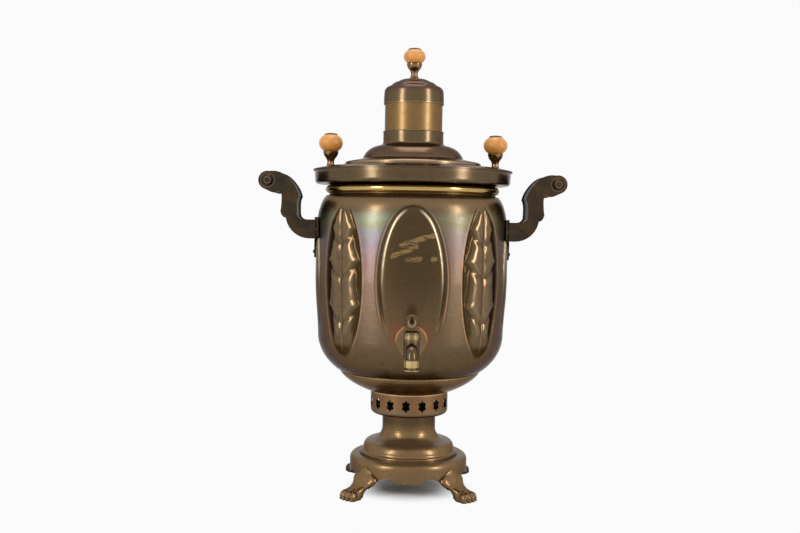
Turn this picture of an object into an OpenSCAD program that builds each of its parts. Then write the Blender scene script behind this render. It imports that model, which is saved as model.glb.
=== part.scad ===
// Charcoal-fired brass samovar: a round water body with embossed panels round a fire tube,
// on an air ring, a pedestal and a round base with four lion-paw feet.
// Millimetres, +Z up. The origin is on the fire tube's axis at the level of the soles.
// The tap points towards -Y and the handles lie along X.

/* [Sheet and fits] */
// Thickness of the brass sheet
sheet = 1.2; // [0.9:0.1:1.5]
// Thickness of the fire tube's wall
tube_sheet = 1.5; // [1.2:0.1:2]
// Gap between round faces that are soldered or riveted together
solder_gap = 0.05; // [0.02:0.01:0.1]
// Gap round the fire tube for the lid and the cap, which lift off
lift_gap = 0.3; // [0.2:0.05:0.5]
// Radial clearance of the tap's plug and of the steam vent's cap
running_gap = 0.05; // [0.02:0.01:0.08]

/* [Base and feet] */
// Height of the apron's middle lobe above the floor
apron_z = 18; // [15:0.5:21]
// Height of the drum above that lobe
drum_h = 21; // [19:0.5:25]
// How far the apron's tongues behind the legs hang below the lobe
tongue_drop = 9.5; // [6:0.5:11]
// Radius of the base drum
drum_r = 66.4; // [63:0.5:70]
// Rounding of the drum's top edge
drum_round = 6; // [3:0.5:7]
// Height of the arches above the lobe's edge
arch_rise = 4.8; // [3:0.2:6]
// Half-width of the lobe between two arches
lobe_w = 13; // [11:0.1:15]
// Distance of an arch's top from the middle of the lobe
arch_x = 22.6; // [20:0.1:25]
// Distance of the paws' tips from the axis
paw_reach = 100; // [96:1:104]
// Width of each paw
paw_w = 21.5; // [19:0.5:23]
// Height of each paw over the toes
paw_h = 11; // [10:0.5:12]
// Width of the leg at its knee
knee_w = 27; // [24:0.5:29]
// Radius of the screws that hold the feet
foot_screw_r = 2; // [1.5:0.1:2.5]

/* [Pedestal] */
// Height of the pedestal
pedestal_h = 45.5; // [42:0.5:50]
// Radius of the pedestal's neck
pedestal_neck_r = 30.1; // [27:0.5:32]
// Radius of the round moulding at the pedestal's foot
bulge_r = 51.5; // [50:0.1:53]
// Height of that moulding
bulge_h = 13.6; // [12:0.1:15]
// Radius of the flange under the moulding
flange_r = 55.8; // [55:0.1:58]
// Height of the hollow curve above the moulding
cove_h = 14; // [11:0.5:16]

/* [Air ring] */
// Radius of the pierced ring
ring_r = 43.8; // [42.8:0.1:47]
// Height of the pierced ring
ring_h = 26; // [25:0.5:30]
// Rounding of its lower edge
ring_round = 5; // [3:0.5:6.5]
// Number of star-shaped holes
star_count = 15; // [12:1:17]
// Width of a star
star_w = 9; // [7:0.2:9.6]
// Height of a star
star_h = 14.5; // [12:0.5:15]
// Angle by which the stars are turned from the front
star_turn = -5.2; // [-12:0.1:12]
// Thickness of the cast grate
grate_t = 4; // [3:0.5:6]
// Radius of each hole in the grate
grate_hole_r = 3.2; // [2:0.1:3.6]

/* [Water body] */
// Height of the bowl under the seam
bowl_h = 22.5; // [20:0.5:26]
// Radius of the soldered seam
seam_r = 79.6; // [76:0.5:82]
// Height of the wall from the seam to the top of the shoulder
wall_h = 197; // [190:1:210]
// Largest radius of the body, over the panels
body_r = 108.9; // [107:0.1:110]
// Radius of the wall where its rounded bottom corner begins
corner_r = 105; // [103:0.1:106]
// Height of the rounded bottom corner
corner_h = 42; // [38:0.5:46]
// Height of the tapered part above the corner
taper_h = 62; // [55:1:80]
// Height of the rounded shoulder
shoulder_h = 31; // [26:0.5:34]
// Radius at the top of the shoulder
shoulder_r = 98; // [97.5:0.1:100]
// Radius of the neck that carries the collar
neck_r = 94.5; // [93:0.1:95]
// Height of the neck from the shoulder to the collar
neck_h = 13; // [12:0.5:16]
// Radius of the bead round the neck
bead_r = 4.3; // [3.5:0.1:5]
// Radius of the tube's wide lower part
fire_r = 42; // [39:0.1:42.2]
// Height of that wide part
fire_h = 60; // [50:1:80]
// Height over which the tube narrows
fire_taper_h = 80; // [60:1:100]

/* [Embossed panels] */
// Height of the middle of the panels above the seam
panel_z = 112.5; // [108:0.5:114]
// Height of the panels
panel_h = 147; // [136:1:148]
// Half-width of a plain oval at its widest, in degrees
plain_half = 20.2; // [17:0.1:21]
// Half-width of a leaf oval at its widest, in degrees
leaf_half = 15; // [13:0.1:16.5]
// Height of the raised cushion of a panel
cushion = 1.6; // [0.8:0.1:2]
// Depth of the groove round a panel
groove = 1.5; // [0.5:0.1:1.8]
// Distance between two leaf lobes
lobe_pitch = 47; // [40:1:55]
// How far a lobe's upper edge drops from its tip to the vein
lobe_slant = 14; // [6:1:16]

/* [Collar and lid] */
// Height of the collar
collar_h = 15; // [13:0.5:18]
// Radius of the collar
collar_r = 111.5; // [110:0.1:113]
// Rounding of the collar's lower edge
collar_round = 4; // [2:0.5:5]
// Overhang of the lid's edge over the collar
lid_over = 1.9; // [1:0.1:3]
// Height of the lid's flat ring above the collar
lid_flat_h = 4.2; // [3.5:0.1:6]
// Radius at which the lid's flat ring ends and its slope begins
lid_flat_r = 102; // [100.5:0.5:104]
// Radius of the step on the lid
step_r = 77.5; // [72:0.5:80]
// Height of the step above the flat ring
step_h = 7.2; // [6:0.1:8]
// Radius of the dome's foot
dome_r = 57.4; // [52:0.1:60]
// Height from the flat ring to the dome's foot
dome_z = 11.8; // [10.5:0.1:13]
// Height of the dome
dome_h = 13.5; // [11:0.5:16]
// Height of the hollow curve between dome and neck
lid_cove_h = 4.5; // [4:0.5:8]
// Height of the lid's neck
lid_neck_h = 12; // [9:0.5:14]
// Radius of the rolled edge on the neck
roll_r = 0.5; // [0.3:0.1:1]
// Depth of the rim under the lid
rim_h = 8; // [5:0.5:10]

/* [Fire tube and cap] */
// Radius of the fire tube at its top
tube_r = 32.9; // [31:0.1:34]
// Height of the tube's top above the collar
tube_out = 86; // [80:0.5:92]
// Depth to which the cap covers the tube
cap_cover = 9; // [7:0.5:12]
// Height of the cap's straight side above the tube's top
cap_side_h = 5; // [4:0.5:7]
// Height of the rounding above that side
cap_round_h = 7; // [6:0.5:7.5]
// Radius of the step on the cap
cap_step_r = 26; // [24:0.5:28]
// Radius of the upper step on the cap
cap_top_r = 16.7; // [15:0.1:19]

/* [Knobs] */
// Distance of the lid's knobs from the axis
knob_x = 94; // [91:0.5:96]
// Height of a knob's turned stem
stem_h = 18.7; // [16:0.1:20]
// Radius of the cup at the top of the stem
cup_r = 8.8; // [7.5:0.1:10]
// Radius of the stem at its narrowest
waist_r = 3.9; // [3.4:0.1:5]
// Radius of the wooden bulbs on the lid
bulb_r = 13.7; // [12:0.1:14.5]
// Height of the wooden bulbs on the lid
bulb_h = 18.3; // [16:0.1:20]
// Radius of the wooden bulb on the cap
cap_bulb_r = 12.6; // [11:0.1:14]
// Height of the wooden bulb on the cap
cap_bulb_h = 15; // [13:0.1:18]
// Radius of the round crown on the bolt
crown_r = 7.6; // [5:0.1:8]
// Height of the crown
crown_h = 2.3; // [1.5:0.1:3]
// Radius of the bolt
bolt_r = 2; // [1.5:0.1:2.5]
// Radius of the nut over its corners
nut_r = 4.6; // [4:0.1:4.8]
// Height of the nut
nut_h = 3; // [2:0.5:4]

/* [Steam vent] */
// Radius of the vent's tube
vent_r = 6.5; // [5:0.5:8]
// Height of the vent's tube
vent_h = 9; // [8:0.5:12]
// Radius of the side holes that let the steam out
vent_hole_r = 1.5; // [1:0.1:1.8]

/* [Handles] */
// Height of the middle of a handle's foot above the seam
handle_z = 158.6; // [154:0.2:162]
// Height of a handle's foot
handle_foot_h = 21.3; // [19:0.1:23]
// Radius of the handle's elbow
elbow_r = 27; // [24:0.5:29]
// Width of a handle from front to rear
handle_depth = 48; // [42:0.5:54]
// Thickness of the cheeks
cheek_t = 2.2; // [1.6:0.1:3]
// Distance from the wall to the inside of the upright limb
limb_in = 18.6; // [16:0.1:20]
// Distance from the wall to the outside of the upright limb
limb_out = 35.7; // [34:0.1:38]
// Distance from the wall to the middle of the scroll
scroll_x = 51.8; // [49:0.1:55]
// Height of the middle of the scroll above the handle's underside
scroll_z = 64.8; // [62:0.1:67]
// Radius of the scroll
scroll_r = 10.4; // [9.5:0.1:12]
// How far the web lies inside the cheeks' edges
web_inset = 1.2; // [0.6:0.1:2]
// Radius of the rod between the cheeks
rod_r = 3.7; // [3:0.1:4.5]
// Radius of the turned buttons on the rod
button_r = 6.2; // [5.5:0.1:7.5]
// Height of the buttons
button_h = 3.5; // [2.5:0.5:5]
// Thickness of the mount plate
plate_t = 2; // [1.5:0.1:3]
// How far the plate stands out on each side of the handle
plate_ear = 7; // [6.5:0.5:9]
// Length of the plate's tail below the handle
tail_h = 22; // [18:0.5:26]
// Width of the tail
tail_w = 16; // [12:0.5:20]
// Radius of the rivet heads
rivet_r = 2.5; // [2:0.1:3]

/* [Tap] */
// Height of the tap's middle above the seam
tap_up = 41; // [38:0.5:44]
// Distance of the barrel's axis from the body's wall
barrel_out = 29; // [26:0.5:32]
// Radius of the barrel
barrel_r = 8; // [7.2:0.1:9]
// Height of the barrel
barrel_h = 25; // [22:0.5:27]
// Radius of the shank through the wall
shank_r = 6; // [5:0.1:6.5]
// Radius of the water way
water_r = 3.2; // [2.4:0.1:3.4]
// Radius of the plug at its top
plug_r = 5.4; // [4.8:0.1:5.8]
// Taper of the plug: how much its radius shrinks to the bottom
plug_taper = 0.8; // [0.4:0.1:1]
// Radius of the bend in the spout
bend_r = 9; // [8.5:0.1:11]
// Outer radius of the spout
spout_r = 5.6; // [5:0.1:6]
// Radius of the spout's eight-sided collar over its corners
facet_r = 7.4; // [7:0.1:8]
// Height of the eight-sided collar
facet_h = 8; // [6:0.5:9]
// Radius of the lip at the outlet
lip_r = 8; // [7:0.1:9]
// Half-width of the rosette behind the tap
rosette_w = 16.4; // [14:0.2:19]
// Height of the rosette above the tap's middle
rosette_up = 20; // [17:0.5:23]
// Height of the rosette below the tap's middle
rosette_down = 19; // [16:0.5:21]
// Thickness of the rosette
rosette_t = 2.5; // [1.5:0.1:3.5]
// Radius of the loop on the key
loop_r = 6.2; // [5:0.1:7.5]

/* [Hidden] */
$fn = 96;

// Levels, stacked up from the floor
drum_top = apron_z + drum_h;
ring_z = drum_top + pedestal_h;
bowl_z = ring_z + ring_h;
seam_z = bowl_z + bowl_h;
shoulder_z = seam_z + wall_h;
collar_z = shoulder_z + neck_h;
lid_z = collar_z + collar_h;
tube_top = lid_z + tube_out;
panel_mid = seam_z + panel_z;
handle_mid = seam_z + handle_z;
tap_z = seam_z + tap_up;

// Radii and heights that follow from the sizes above
strip_r = body_r - cushion;
bowl_hole_r = fire_r + solder_gap;
lid_neck_r = tube_r + lift_gap + sheet;
lid_edge_r = collar_r + lid_over;
lid_edge_h = 1.4;
flat_z = lid_z + lid_flat_h;
cap_r = tube_r + lift_gap + sheet;
seat_z = tube_top + cap_side_h + cap_round_h + 1;
cap_top_z = seat_z + 7;
stem_bore = bolt_r + 0.1;
plate_back_r = body_r + solder_gap;
plate_front_r = plate_back_r + plate_t;
handle_under = handle_mid - handle_foot_h / 2;
cheek_y = handle_depth / 2 - cheek_t;
BIG = 400;

BRASS = [0.46, 0.37, 0.22];
DARK_BRASS = [0.25, 0.2, 0.13];
GOLD = [0.72, 0.58, 0.25];
RED_BRASS = [0.4, 0.29, 0.21];
COPPER = [0.62, 0.42, 0.24];
WOOD = [0.85, 0.6, 0.36];
IRON = [0.2, 0.2, 0.2];
LEATHER = [0.35, 0.22, 0.14];

// ---- Outlines ---------------------------------------------------------------------------

function clamp(x, low, high) = min(max(x, low), high);

// Points on an oval arc round a centre, from angle a to angle b
function oval_arc(centre, rx, ry, a, b, steps) =
    [for (i = [0 : steps]) let (t = a + (b - a) * i / steps) centre + [rx * cos(t), ry * sin(t)]];

function arc(centre, r, a, b, steps) = oval_arc(centre, r, r, a, b, steps);

// Points on a curve from p to r that leaves and arrives towards q, without p itself
function curve(p, q, r, steps) =
    [for (i = [1 : steps]) let (t = i / steps)
        (1 - t) * (1 - t) * p + 2 * t * (1 - t) * q + t * t * r];

function left_of(a, b) = let (d = (b - a) / norm(b - a)) [-d[1], d[0]];

// The line moved to its left by t, with its corners kept sharp
function moved(line, t, closed = false) =
    let (n = len(line), last = n - 1)
    [for (i = [0 : last])
        let (before = i > 0 ? line[i - 1] : closed ? line[last] : line[0] * 2 - line[1],
             after = i < last ? line[i + 1] : closed ? line[0] : line[last] * 2 - line[last - 1],
             u = left_of(before, line[i]), v = left_of(line[i], after), m = (u + v) / norm(u + v))
        line[i] + t * m / (m * u)];

function reversed(line) = [for (i = [len(line) - 1 : -1 : 0]) line[i]];

// A bent sheet: the line, and the same line moved inwards by the sheet's thickness
module sheet_turned(line, t = sheet) {
    rotate_extrude() polygon(concat(line, reversed(moved(line, t))));
}

// How far a rounded corner has dropped at t, from 0 where it begins to 1 at its end
function corner_drop(t, fullness) =
    (1 - sqrt(1 - pow(fullness * t, 2))) / (1 - sqrt(1 - fullness * fullness));

// Radius of the plain wall, between the panels, at height z
function wall_r(z) =
    let (corner_top = seam_z + corner_h, straight = corner_top + taper_h,
         shoulder = shoulder_z - shoulder_h)
    z < corner_top
        ? corner_r - (corner_r - seam_r) * corner_drop((corner_top - z) / corner_h, 0.8)
        : z < straight ? corner_r + (strip_r - corner_r) * (z - corner_top) / taper_h
        : z < shoulder ? strip_r
        : strip_r - (strip_r - shoulder_r) * corner_drop((z - shoulder) / shoulder_h, 0.89);

// Radius of the inner face at one of its rows, where it clears the grooves
function wall_in_r(z) =
    let (h = panel_h / 2, deep = clamp((h * 1.15 - abs(z - panel_mid)) / (0.15 * h), 0, 1))
    wall_r(max(seam_z, z - sheet)) - sheet - groove * deep;

// Heights of the inner face's rows, from the shoulder down to the seam
inner_rows = concat([shoulder_z - 10, shoulder_z - shoulder_h, seam_z + corner_h + taper_h],
    [for (t = [0.75, 0.55, 0.35, 0.2, 0.08, 0]) seam_z + t * corner_h]);

// Radius of the inner face, which is straight from row to row
function inner_r(z) = lookup(z, [for (row = inner_rows) [row, wall_in_r(row)]]);

// ---- Base -------------------------------------------------------------------------------

// Half of the opening under the apron: a lobe with a cusp, an arch, then down along the leg
function apron_half() =
    let (arch_top = [arch_x, apron_z + arch_rise], lobe_end = [lobe_w, apron_z + 1],
         tip = [drum_r * sin(40.6), apron_z - tongue_drop])
    concat([[0, apron_z + 0.9]], curve([0, apron_z + 0.9], [lobe_w * 0.3, apron_z - 0.9], lobe_end, 6),
        curve(lobe_end, [(lobe_w + arch_x) / 2, apron_z + arch_rise], arch_top, 5),
        curve(arch_top, [arch_x * 1.46, apron_z + arch_rise], tip, 9), [[tip[0], 0]]);

module base_drum() {
    color(BRASS) difference() {
        sheet_turned(concat(
            [[drum_r, apron_z - tongue_drop]],
            arc([drum_r - drum_round, drum_top - drum_round], drum_round, 0, 90, 6),
            [[bulge_r - 8, drum_top]]));
        for (turn = [0, 90], s = [0, 1])
            rotate(turn) mirror([s, 0, 0]) translate([0, BIG / 2, 0]) rotate([90, 0, 0])
                linear_extrude(BIG) polygon(concat([[-0.01, 0], [-0.01, apron_z + 0.9]], apron_half()));
        for (k = [0 : 3]) rotate(45 + k * 90) foot_screw_hole();
    }
}

// How far a screw reaches into its foot
screw_bite = 2.6;
function screw_z() = apron_z + drum_h * 0.5;

module foot_screw_hole() {
    translate([drum_r - sheet - 1, 0, screw_z()]) rotate([0, 90, 0])
        cylinder(h = sheet + 1.3 + screw_bite, r = foot_screw_r + solder_gap);
}

module foot_screws() {
    color(IRON) for (k = [0 : 3]) rotate(45 + k * 90)
        translate([sqrt(pow(drum_r - sheet, 2) - pow(foot_screw_r * 2, 2)), 0, screw_z()])
            rotate([0, 90, 0]) {
                cylinder(h = sheet + screw_bite, r = foot_screw_r);
                translate([0, 0, -1.6]) cylinder(h = 1.6, r = foot_screw_r * 2);
            }
}

// One row of a foot: height, nearest and farthest distance from the axis, width, toe depth
function foot_rows() = let (tip = paw_reach, leg = drum_r) [
    [0, leg + 9, tip - 1.5, paw_w * 0.94, 0.1],
    [paw_h * 0.25, leg + 8, tip, paw_w, 0.16],
    [paw_h * 0.6, leg + 7, tip - 2, paw_w * 0.96, 0.16],
    [paw_h * 0.85, leg + 5, tip - 6.5, paw_w * 0.9, 0.1],
    [paw_h, leg + 3, tip - 12, paw_w * 0.86, 0.03],
    [paw_h + 2.2, leg - 1, leg + 13, paw_w * 0.84, 0],
    [apron_z - 1.6, leg - 4, leg + 8.8, (paw_w + knee_w) * 0.43, 0],
    [apron_z + drum_h * 0.07, leg - 5, leg + 6.8, knee_w * 0.95, 0],
    [apron_z + drum_h * 0.24, leg - 6, leg + 5.2, knee_w, 0],
    [apron_z + drum_h * 0.41, leg - 6.5, leg + 3.4, knee_w * 0.88, 0],
    [apron_z + drum_h * 0.54, leg - 7, leg + 1.6, knee_w * 0.6, 0],
    [apron_z + drum_h * 0.61, leg - 7.5, leg + 0.7, knee_w * 0.28, 0]];

// The outline of a row: a rounded box whose front is divided into four toes
function foot_ring(row, steps) =
    let (half = (row[2] - row[1]) / 2, mid = (row[2] + row[1]) / 2)
    [for (i = [0 : steps - 1])
        let (a = 360 * i / steps, c = cos(a), s = sin(a),
             round_x = sign(c) * pow(abs(c), 0.8), round_y = sign(s) * pow(abs(s), 0.7),
             toe = max(0, c) * (1 - abs(cos(a * 3.2))) * row[4])
        [mid + half * round_x * (1 - toe), row[3] / 2 * round_y * (1 - toe / 2), row[0]]];

// A skin over rings of equal length, closed at both ends
module skin(rings) {
    n = len(rings[0]);
    last = len(rings) - 1;
    points = [for (ring = rings) each ring];
    polyhedron(points, concat(
        [[for (i = [0 : n - 1]) i]],
        [for (k = [0 : last - 1], i = [0 : n - 1]) let (a = k * n + i, b = k * n + (i + 1) % n)
            each [[a, a + n, b], [b, a + n, b + n]]],
        [[for (i = [n - 1 : -1 : 0]) last * n + i]]));
}

module foot(turn) {
    color(BRASS) rotate(turn) difference() {
        skin([for (row = foot_rows()) foot_ring(row, 28)]);
        cylinder(h = drum_top + 10, r = drum_r + solder_gap);
        foot_screw_hole();
    }
}

module foot_front_left() { foot(225); }
module foot_front_right() { foot(315); }
module foot_rear_left() { foot(135); }
module foot_rear_right() { foot(45); }

// ---- Pedestal and air ring --------------------------------------------------------------

module pedestal() {
    flange_t = sheet;
    foot_z = drum_top + flange_t;
    lip_r = flange_r - 1.4;
    crest = bulge_r - 6.5;
    belly_z = foot_z + bulge_h * 0.33;
    color(BRASS) {
        translate([0, 0, drum_top]) difference() {
            cylinder(h = flange_t, r = flange_r);
            translate([0, 0, -1]) cylinder(h = flange_t + 2, r = bulge_r - 2);
        }
        sheet_turned(concat(
            [[lip_r, foot_z], [lip_r, foot_z + 0.8]],
            curve([lip_r, foot_z + 0.8], [lip_r - 0.2, foot_z + 1.9], [lip_r - 1.4, foot_z + 2], 3),
            curve([lip_r - 1.4, foot_z + 2], [bulge_r + 0.2, foot_z + 2.4], [bulge_r, belly_z], 3),
            oval_arc([crest, belly_z], bulge_r - crest, bulge_h * 0.67, 10, 90, 8),
            oval_arc([crest, foot_z + bulge_h + cove_h], crest - pedestal_neck_r, cove_h, 260, 180, 8),
            [[pedestal_neck_r, ring_z]]));
    }
}

module ash_floor() {
    color(DARK_BRASS) translate([0, 0, drum_top]) difference() {
        cylinder(h = sheet, r = bulge_r - 2.5);
        translate([0, 0, sheet / 2]) cylinder(h = sheet, r = bulge_r - 12);
    }
}

// The star's outline, with six long points and six short ones
function star() = [for (k = [0 : 11])
    let (a = 90 + k * 30, long = k % 2 == 0, r = long ? 1 : 0.68)
    [star_w / 2 * r * cos(a) / cos(30), star_h / 2 * r * sin(a)]];

module air_ring() {
    color(COPPER) difference() {
        sheet_turned(concat(
            [[pedestal_neck_r - sheet, ring_z]],
            arc([ring_r - ring_round, ring_z + ring_round], ring_round, 270, 360, 6),
            [[ring_r, bowl_z], [fire_r - 4.5, bowl_z]]));
        for (k = [0 : star_count - 1])
            rotate(star_turn - 90 + k * 360 / star_count)
                translate([ring_r - 5, 0, (ring_z + ring_round + bowl_z - sheet) / 2 - 1.5])
                    rotate([90, 0, 90]) linear_extrude(10) polygon(star());
    }
}

module grate() {
    r = fire_r - tube_sheet - lift_gap;
    color(IRON) translate([0, 0, bowl_z]) difference() {
        cylinder(h = grate_t, r = r);
        for (ring = [0 : 2], k = [0 : max(0, ring * 6 - 1)])
            rotate(ring == 0 ? 0 : k * 60 / ring)
                translate([ring * r * 0.37, 0, -1]) cylinder(h = grate_t + 2, r = grate_hole_r);
    }
}

// ---- Water body -------------------------------------------------------------------------

module body_bowl() {
    edge = [fire_r + 4, bowl_z];
    lip = seam_r - 0.6;
    color(BRASS) sheet_turned(concat(
        [[bowl_hole_r, bowl_z], edge],
        curve(edge, [lip - 8, bowl_z + 9.5], [lip, seam_z - 1.5], 7),
        [[lip, seam_z]]));
}

// Relief across an oval, from its middle at 0 to its edge at 1 and the wall beyond
plain_relief = [[0, 1], [0.7, 0.97], [0.9, 0.72], [0.985, -1], [1.05, 0]];
leaf_edge = [[0.88, -0.85], [1, 0.35], [1.1, 0]];
// The raised and sunk lines of a leaf, from the vein's valley outwards
leaf_relief = [0.15, 0.9, -0.8, 1, 0.45, -1];
least_step = 0.75;

// Heights of a lobe's rows as shares of the pitch: close together where a lobe has its tip
lobe_rows = [0, 0.04, 0.15, 0.25, 0.29, 0.43, 0.57, 0.71, 0.86];

// Above and below an oval the columns spread out evenly again
even_step = 45 / 13;
function spread(k, v, from) = k * even_step * clamp((abs(v) - from) / 0.22, 0, 1);

// How far the relief has come up at height z: the foot of a panel fades into the wall
function fade(z, from, to) = clamp((z - from) / (to - from), 0, 1);

// Half-width in degrees of an oval's line that lies at share rho of its edge
function oval_half(half, rho, v) = half * sqrt(max(0, rho * rho - v * v));

// Saw-tooth edge of the leaf: a lobe is narrow at its root, wide at its tip and starts anew
function leaf_lobe(z, side) =
    let (phase = (z - panel_mid) / lobe_pitch + (side > 0 ? 1 : 0.75), t = phase - floor(phase - 0.001))
    t < 0.04 ? 1 - 0.85 * t / 0.04 : t < 0.5 ? 0.15 + 0.6 * t / 0.5 : 0.75 + 0.25 * (t - 0.5) / 0.5;

// Columns of a plain oval at height z: pairs of angle and radius
function plain_columns(z) =
    let (v = (z - panel_mid) / (panel_h / 2), low = seam_z + corner_h)
    [for (k = [-4 : 4])
        let (rho = plain_relief[abs(k)][0],
             a = sign(k) * max(norm([oval_half(plain_half, rho, v), spread(k, v, 0.82)]),
                               abs(k) * least_step),
             share = lookup(sqrt(pow(a / plain_half, 2) + v * v), plain_relief))
        [a, wall_r(z) + (share > 0 ? share * cushion * fade(z, low + 16, low + 58)
                                   : share * groove * fade(z, low - 4, low + 16)), z]];

// Columns of a leaf oval at height z
function leaf_columns(z) =
    let (v = (z - panel_mid) / (panel_h / 2), low = seam_z + corner_h,
         inner = oval_half(leaf_half, leaf_edge[0][0], v), swell = clamp((1 - abs(v)) * 6, 0, 1))
    [for (k = [-8 : 8])
        let (i = abs(k), edge = 2.4 + max(0, inner - 3.8) * leaf_lobe(z, k), f = min(1, inner / 6),
             raw = [0, 0.8 * f, 1.9 * f, (1.9 + edge) / 2 * f, edge * f, (edge + 1.2) * f,
                    inner, oval_half(leaf_half, 1, v), oval_half(leaf_half, leaf_edge[2][0], v)][i],
             a = max(norm([raw, spread(i, v, 0.88)]), i * least_step),
             rim = lookup(sqrt(pow(a / leaf_half, 2) + v * v), leaf_edge),
             share = (i < 6 ? leaf_relief[i] : rim) * swell,
             y = z - lobe_slant * swell * max(0, 1 - a / max(inner, 0.1)))
        [sign(k) * a, wall_r(y) + (share > 0 ? share * cushion
                                              : share * groove * fade(y, low - 6, low + 8)), y]];

// One ring of the wall's outer face, all the way round, as angle, radius and height
function wall_ring(z) =
    [for (p = [0 : 3]) each concat(
        [for (c = plain_columns(z)) [c[0] + p * 90 - 90, c[1], c[2]]],
        [for (c = leaf_columns(z)) [c[0] + p * 90 - 45, c[1], c[2]]])];

function wall_heights() = let (half = panel_h * 0.535) concat(
    [for (t = [0, 0.06, 0.16, 0.3, 0.5, 0.72]) seam_z + t * corner_h],
    [for (n = [-3 : 2], t = lobe_rows) let (z = panel_mid + (n + t) * lobe_pitch)
        if (abs(z - panel_mid) < half) z],
    [shoulder_z]);

module body_wall() {
    top = collar_z + sheet + 1;
    outer = [for (z = wall_heights()) [for (c = wall_ring(z)) [c[1] * cos(c[0]), c[1] * sin(c[0]), c[2]]]];
    n = len(outer[0]);
    function plain_ring(r, z) = [for (i = [0 : n - 1])
        let (a = (i - 4) * even_step - 90) [r * cos(a), r * sin(a), z]];
    neck = [plain_ring(neck_r, shoulder_z + 1), plain_ring(neck_r, top)];
    bore = [plain_ring(neck_r - sheet, top), plain_ring(neck_r - sheet, shoulder_z)];
    inner = [for (z = inner_rows) plain_ring(wall_in_r(z), z)];
    rings = concat(outer, neck, bore, inner);
    count = len(rings);
    color(BRASS) difference() {
        polyhedron([for (ring = rings) each ring],
            [for (k = [0 : count - 1], i = [0 : n - 1])
                let (j = (i + 1) % n, up = ((k + 1) % count) * n, at = k * n)
                each [[at + i, up + i, at + j], [at + j, up + i, up + j]]]);
        tap_bore(shank_r + solder_gap);
    }
}

module tap_bore(r) {
    translate([0, -body_r + 25, tap_z]) rotate([90, 0, 0]) cylinder(h = 40, r = r);
}

module bead_ring() {
    color(GOLD) translate([0, 0, (shoulder_z + 1 + collar_z) / 2]) rotate_extrude()
        translate([neck_r + solder_gap, 0]) intersection() {
            circle(bead_r);
            translate([0, -bead_r]) square(bead_r * 2);
        }
}

module top_collar() {
    color(BRASS) sheet_turned(concat(
        [[neck_r + solder_gap, collar_z]],
        arc([collar_r - 0.5 - collar_round, collar_z + collar_round], collar_round, 270, 360, 5),
        [[collar_r, lid_z - 3], [collar_r, lid_z]]));
}

module fire_tube() {
    narrow_z = bowl_z + fire_h;
    color(GOLD) sheet_turned([[fire_r, bowl_z], [fire_r, narrow_z],
        [tube_r, narrow_z + fire_taper_h], [tube_r, tube_top]], tube_sheet);
}

// ---- Handles ----------------------------------------------------------------------------

// A cheek's outline, from the wall at 0 outwards and from the handle's underside up
function handle_outline() =
    let (bite = 24, elbow = [limb_out - 4.7 - elbow_r, elbow_r],
         hip = [limb_out + 1.2, handle_foot_h + 8.7], armpit = [limb_out + 3.7, scroll_z - 12.2],
         chin = [scroll_x - 4.8, scroll_z - 13.6], shoulder = [limb_in + 3.9, scroll_z - 3.8],
         cusp = [limb_in - 2.3, scroll_z - 17.3])
    concat(
        [[-bite, 0]],
        arc(elbow, elbow_r, -90, -9, 10),
        curve(elbow + elbow_r * [cos(-9), sin(-9)], [limb_out - 0.5, handle_foot_h + 1.8], hip, 4),
        curve(hip, [limb_out, handle_foot_h + 14], [limb_out, scroll_z - 19], 4),
        curve([limb_out, scroll_z - 19], [limb_out, scroll_z - 12.5], armpit, 4),
        curve(armpit, [limb_out + 6.6, scroll_z - 15.2], chin, 4),
        arc([scroll_x, scroll_z], scroll_r, -68, 103, 14),
        curve([scroll_x, scroll_z] + scroll_r * [cos(103), sin(103)],
              [limb_in + 15.4, scroll_z + 12.6], shoulder, 8),
        curve(shoulder, [limb_in - 0.4, scroll_z - 9.4], cusp, 4),
        curve(cusp, [limb_in, scroll_z - 20], [limb_in, scroll_z - 28.8], 4),
        curve([limb_in, handle_foot_h + 8.5], [limb_in, handle_foot_h + 0.4], [limb_in - 7.6, handle_foot_h], 5),
        [[-bite, handle_foot_h]]);

// Puts a drawing of the handle on the right-hand wall, as a slab of the given width
module on_wall(y, width) {
    translate([plate_front_r, y + width, handle_under]) rotate([90, 0, 0])
        linear_extrude(width) children();
}

module plate_space() {
    translate([0, 0, handle_under - BIG / 2]) cylinder(h = BIG, r = plate_front_r);
}

module cheek(y) {
    color(DARK_BRASS) difference() {
        on_wall(y, cheek_t) difference() {
            polygon(handle_outline());
            translate([scroll_x, scroll_z]) circle(rod_r + solder_gap);
        }
        plate_space();
    }
}

module web() {
    color(DARK_BRASS) difference() {
        on_wall(-cheek_y, cheek_y * 2) difference() {
            polygon(moved(handle_outline(), web_inset, true));
            polygon(moved(handle_outline(), web_inset + sheet, true));
        }
        plate_space();
    }
}

module rod() {
    length = handle_depth + 2 * button_h + 2;
    color(DARK_BRASS) on_wall(-length / 2, length) translate([scroll_x, scroll_z]) circle(rod_r);
}

module buttons() {
    color(DARK_BRASS) for (s = [-1, 1])
        translate([plate_front_r + scroll_x, s * handle_depth / 2, handle_under + scroll_z])
            rotate([s * -90, 0, 0]) rotate_extrude()
                polygon([[rod_r + solder_gap, 0], [button_r, 0], [button_r, button_h - 1.2],
                    [button_r - 1.2, button_h], [rod_r + solder_gap, button_h]]);
}

// The mount plate seen from the side: a broad plate with ears and a tapering tail
function plate_outline() =
    let (w = handle_depth / 2 + plate_ear, top = handle_foot_h + 3, tail = tail_w / 2)
    concat(
        arc([w - 4, top - 4], 4, 0, 90, 4), arc([4 - w, top - 4], 4, 90, 180, 4),
        [[-w, 2], [-tail - 6, -4], [-tail, -9]],
        arc([0, tail - tail_h], tail, 180, 360, 8),
        [[tail, -9], [tail + 6, -4], [w, 2]]);

function rivet_places() = let (w = handle_depth / 2 + plate_ear - 3.2)
    [[w, handle_foot_h / 2], [-w, handle_foot_h / 2], [0, 7 - tail_h]];

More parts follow.
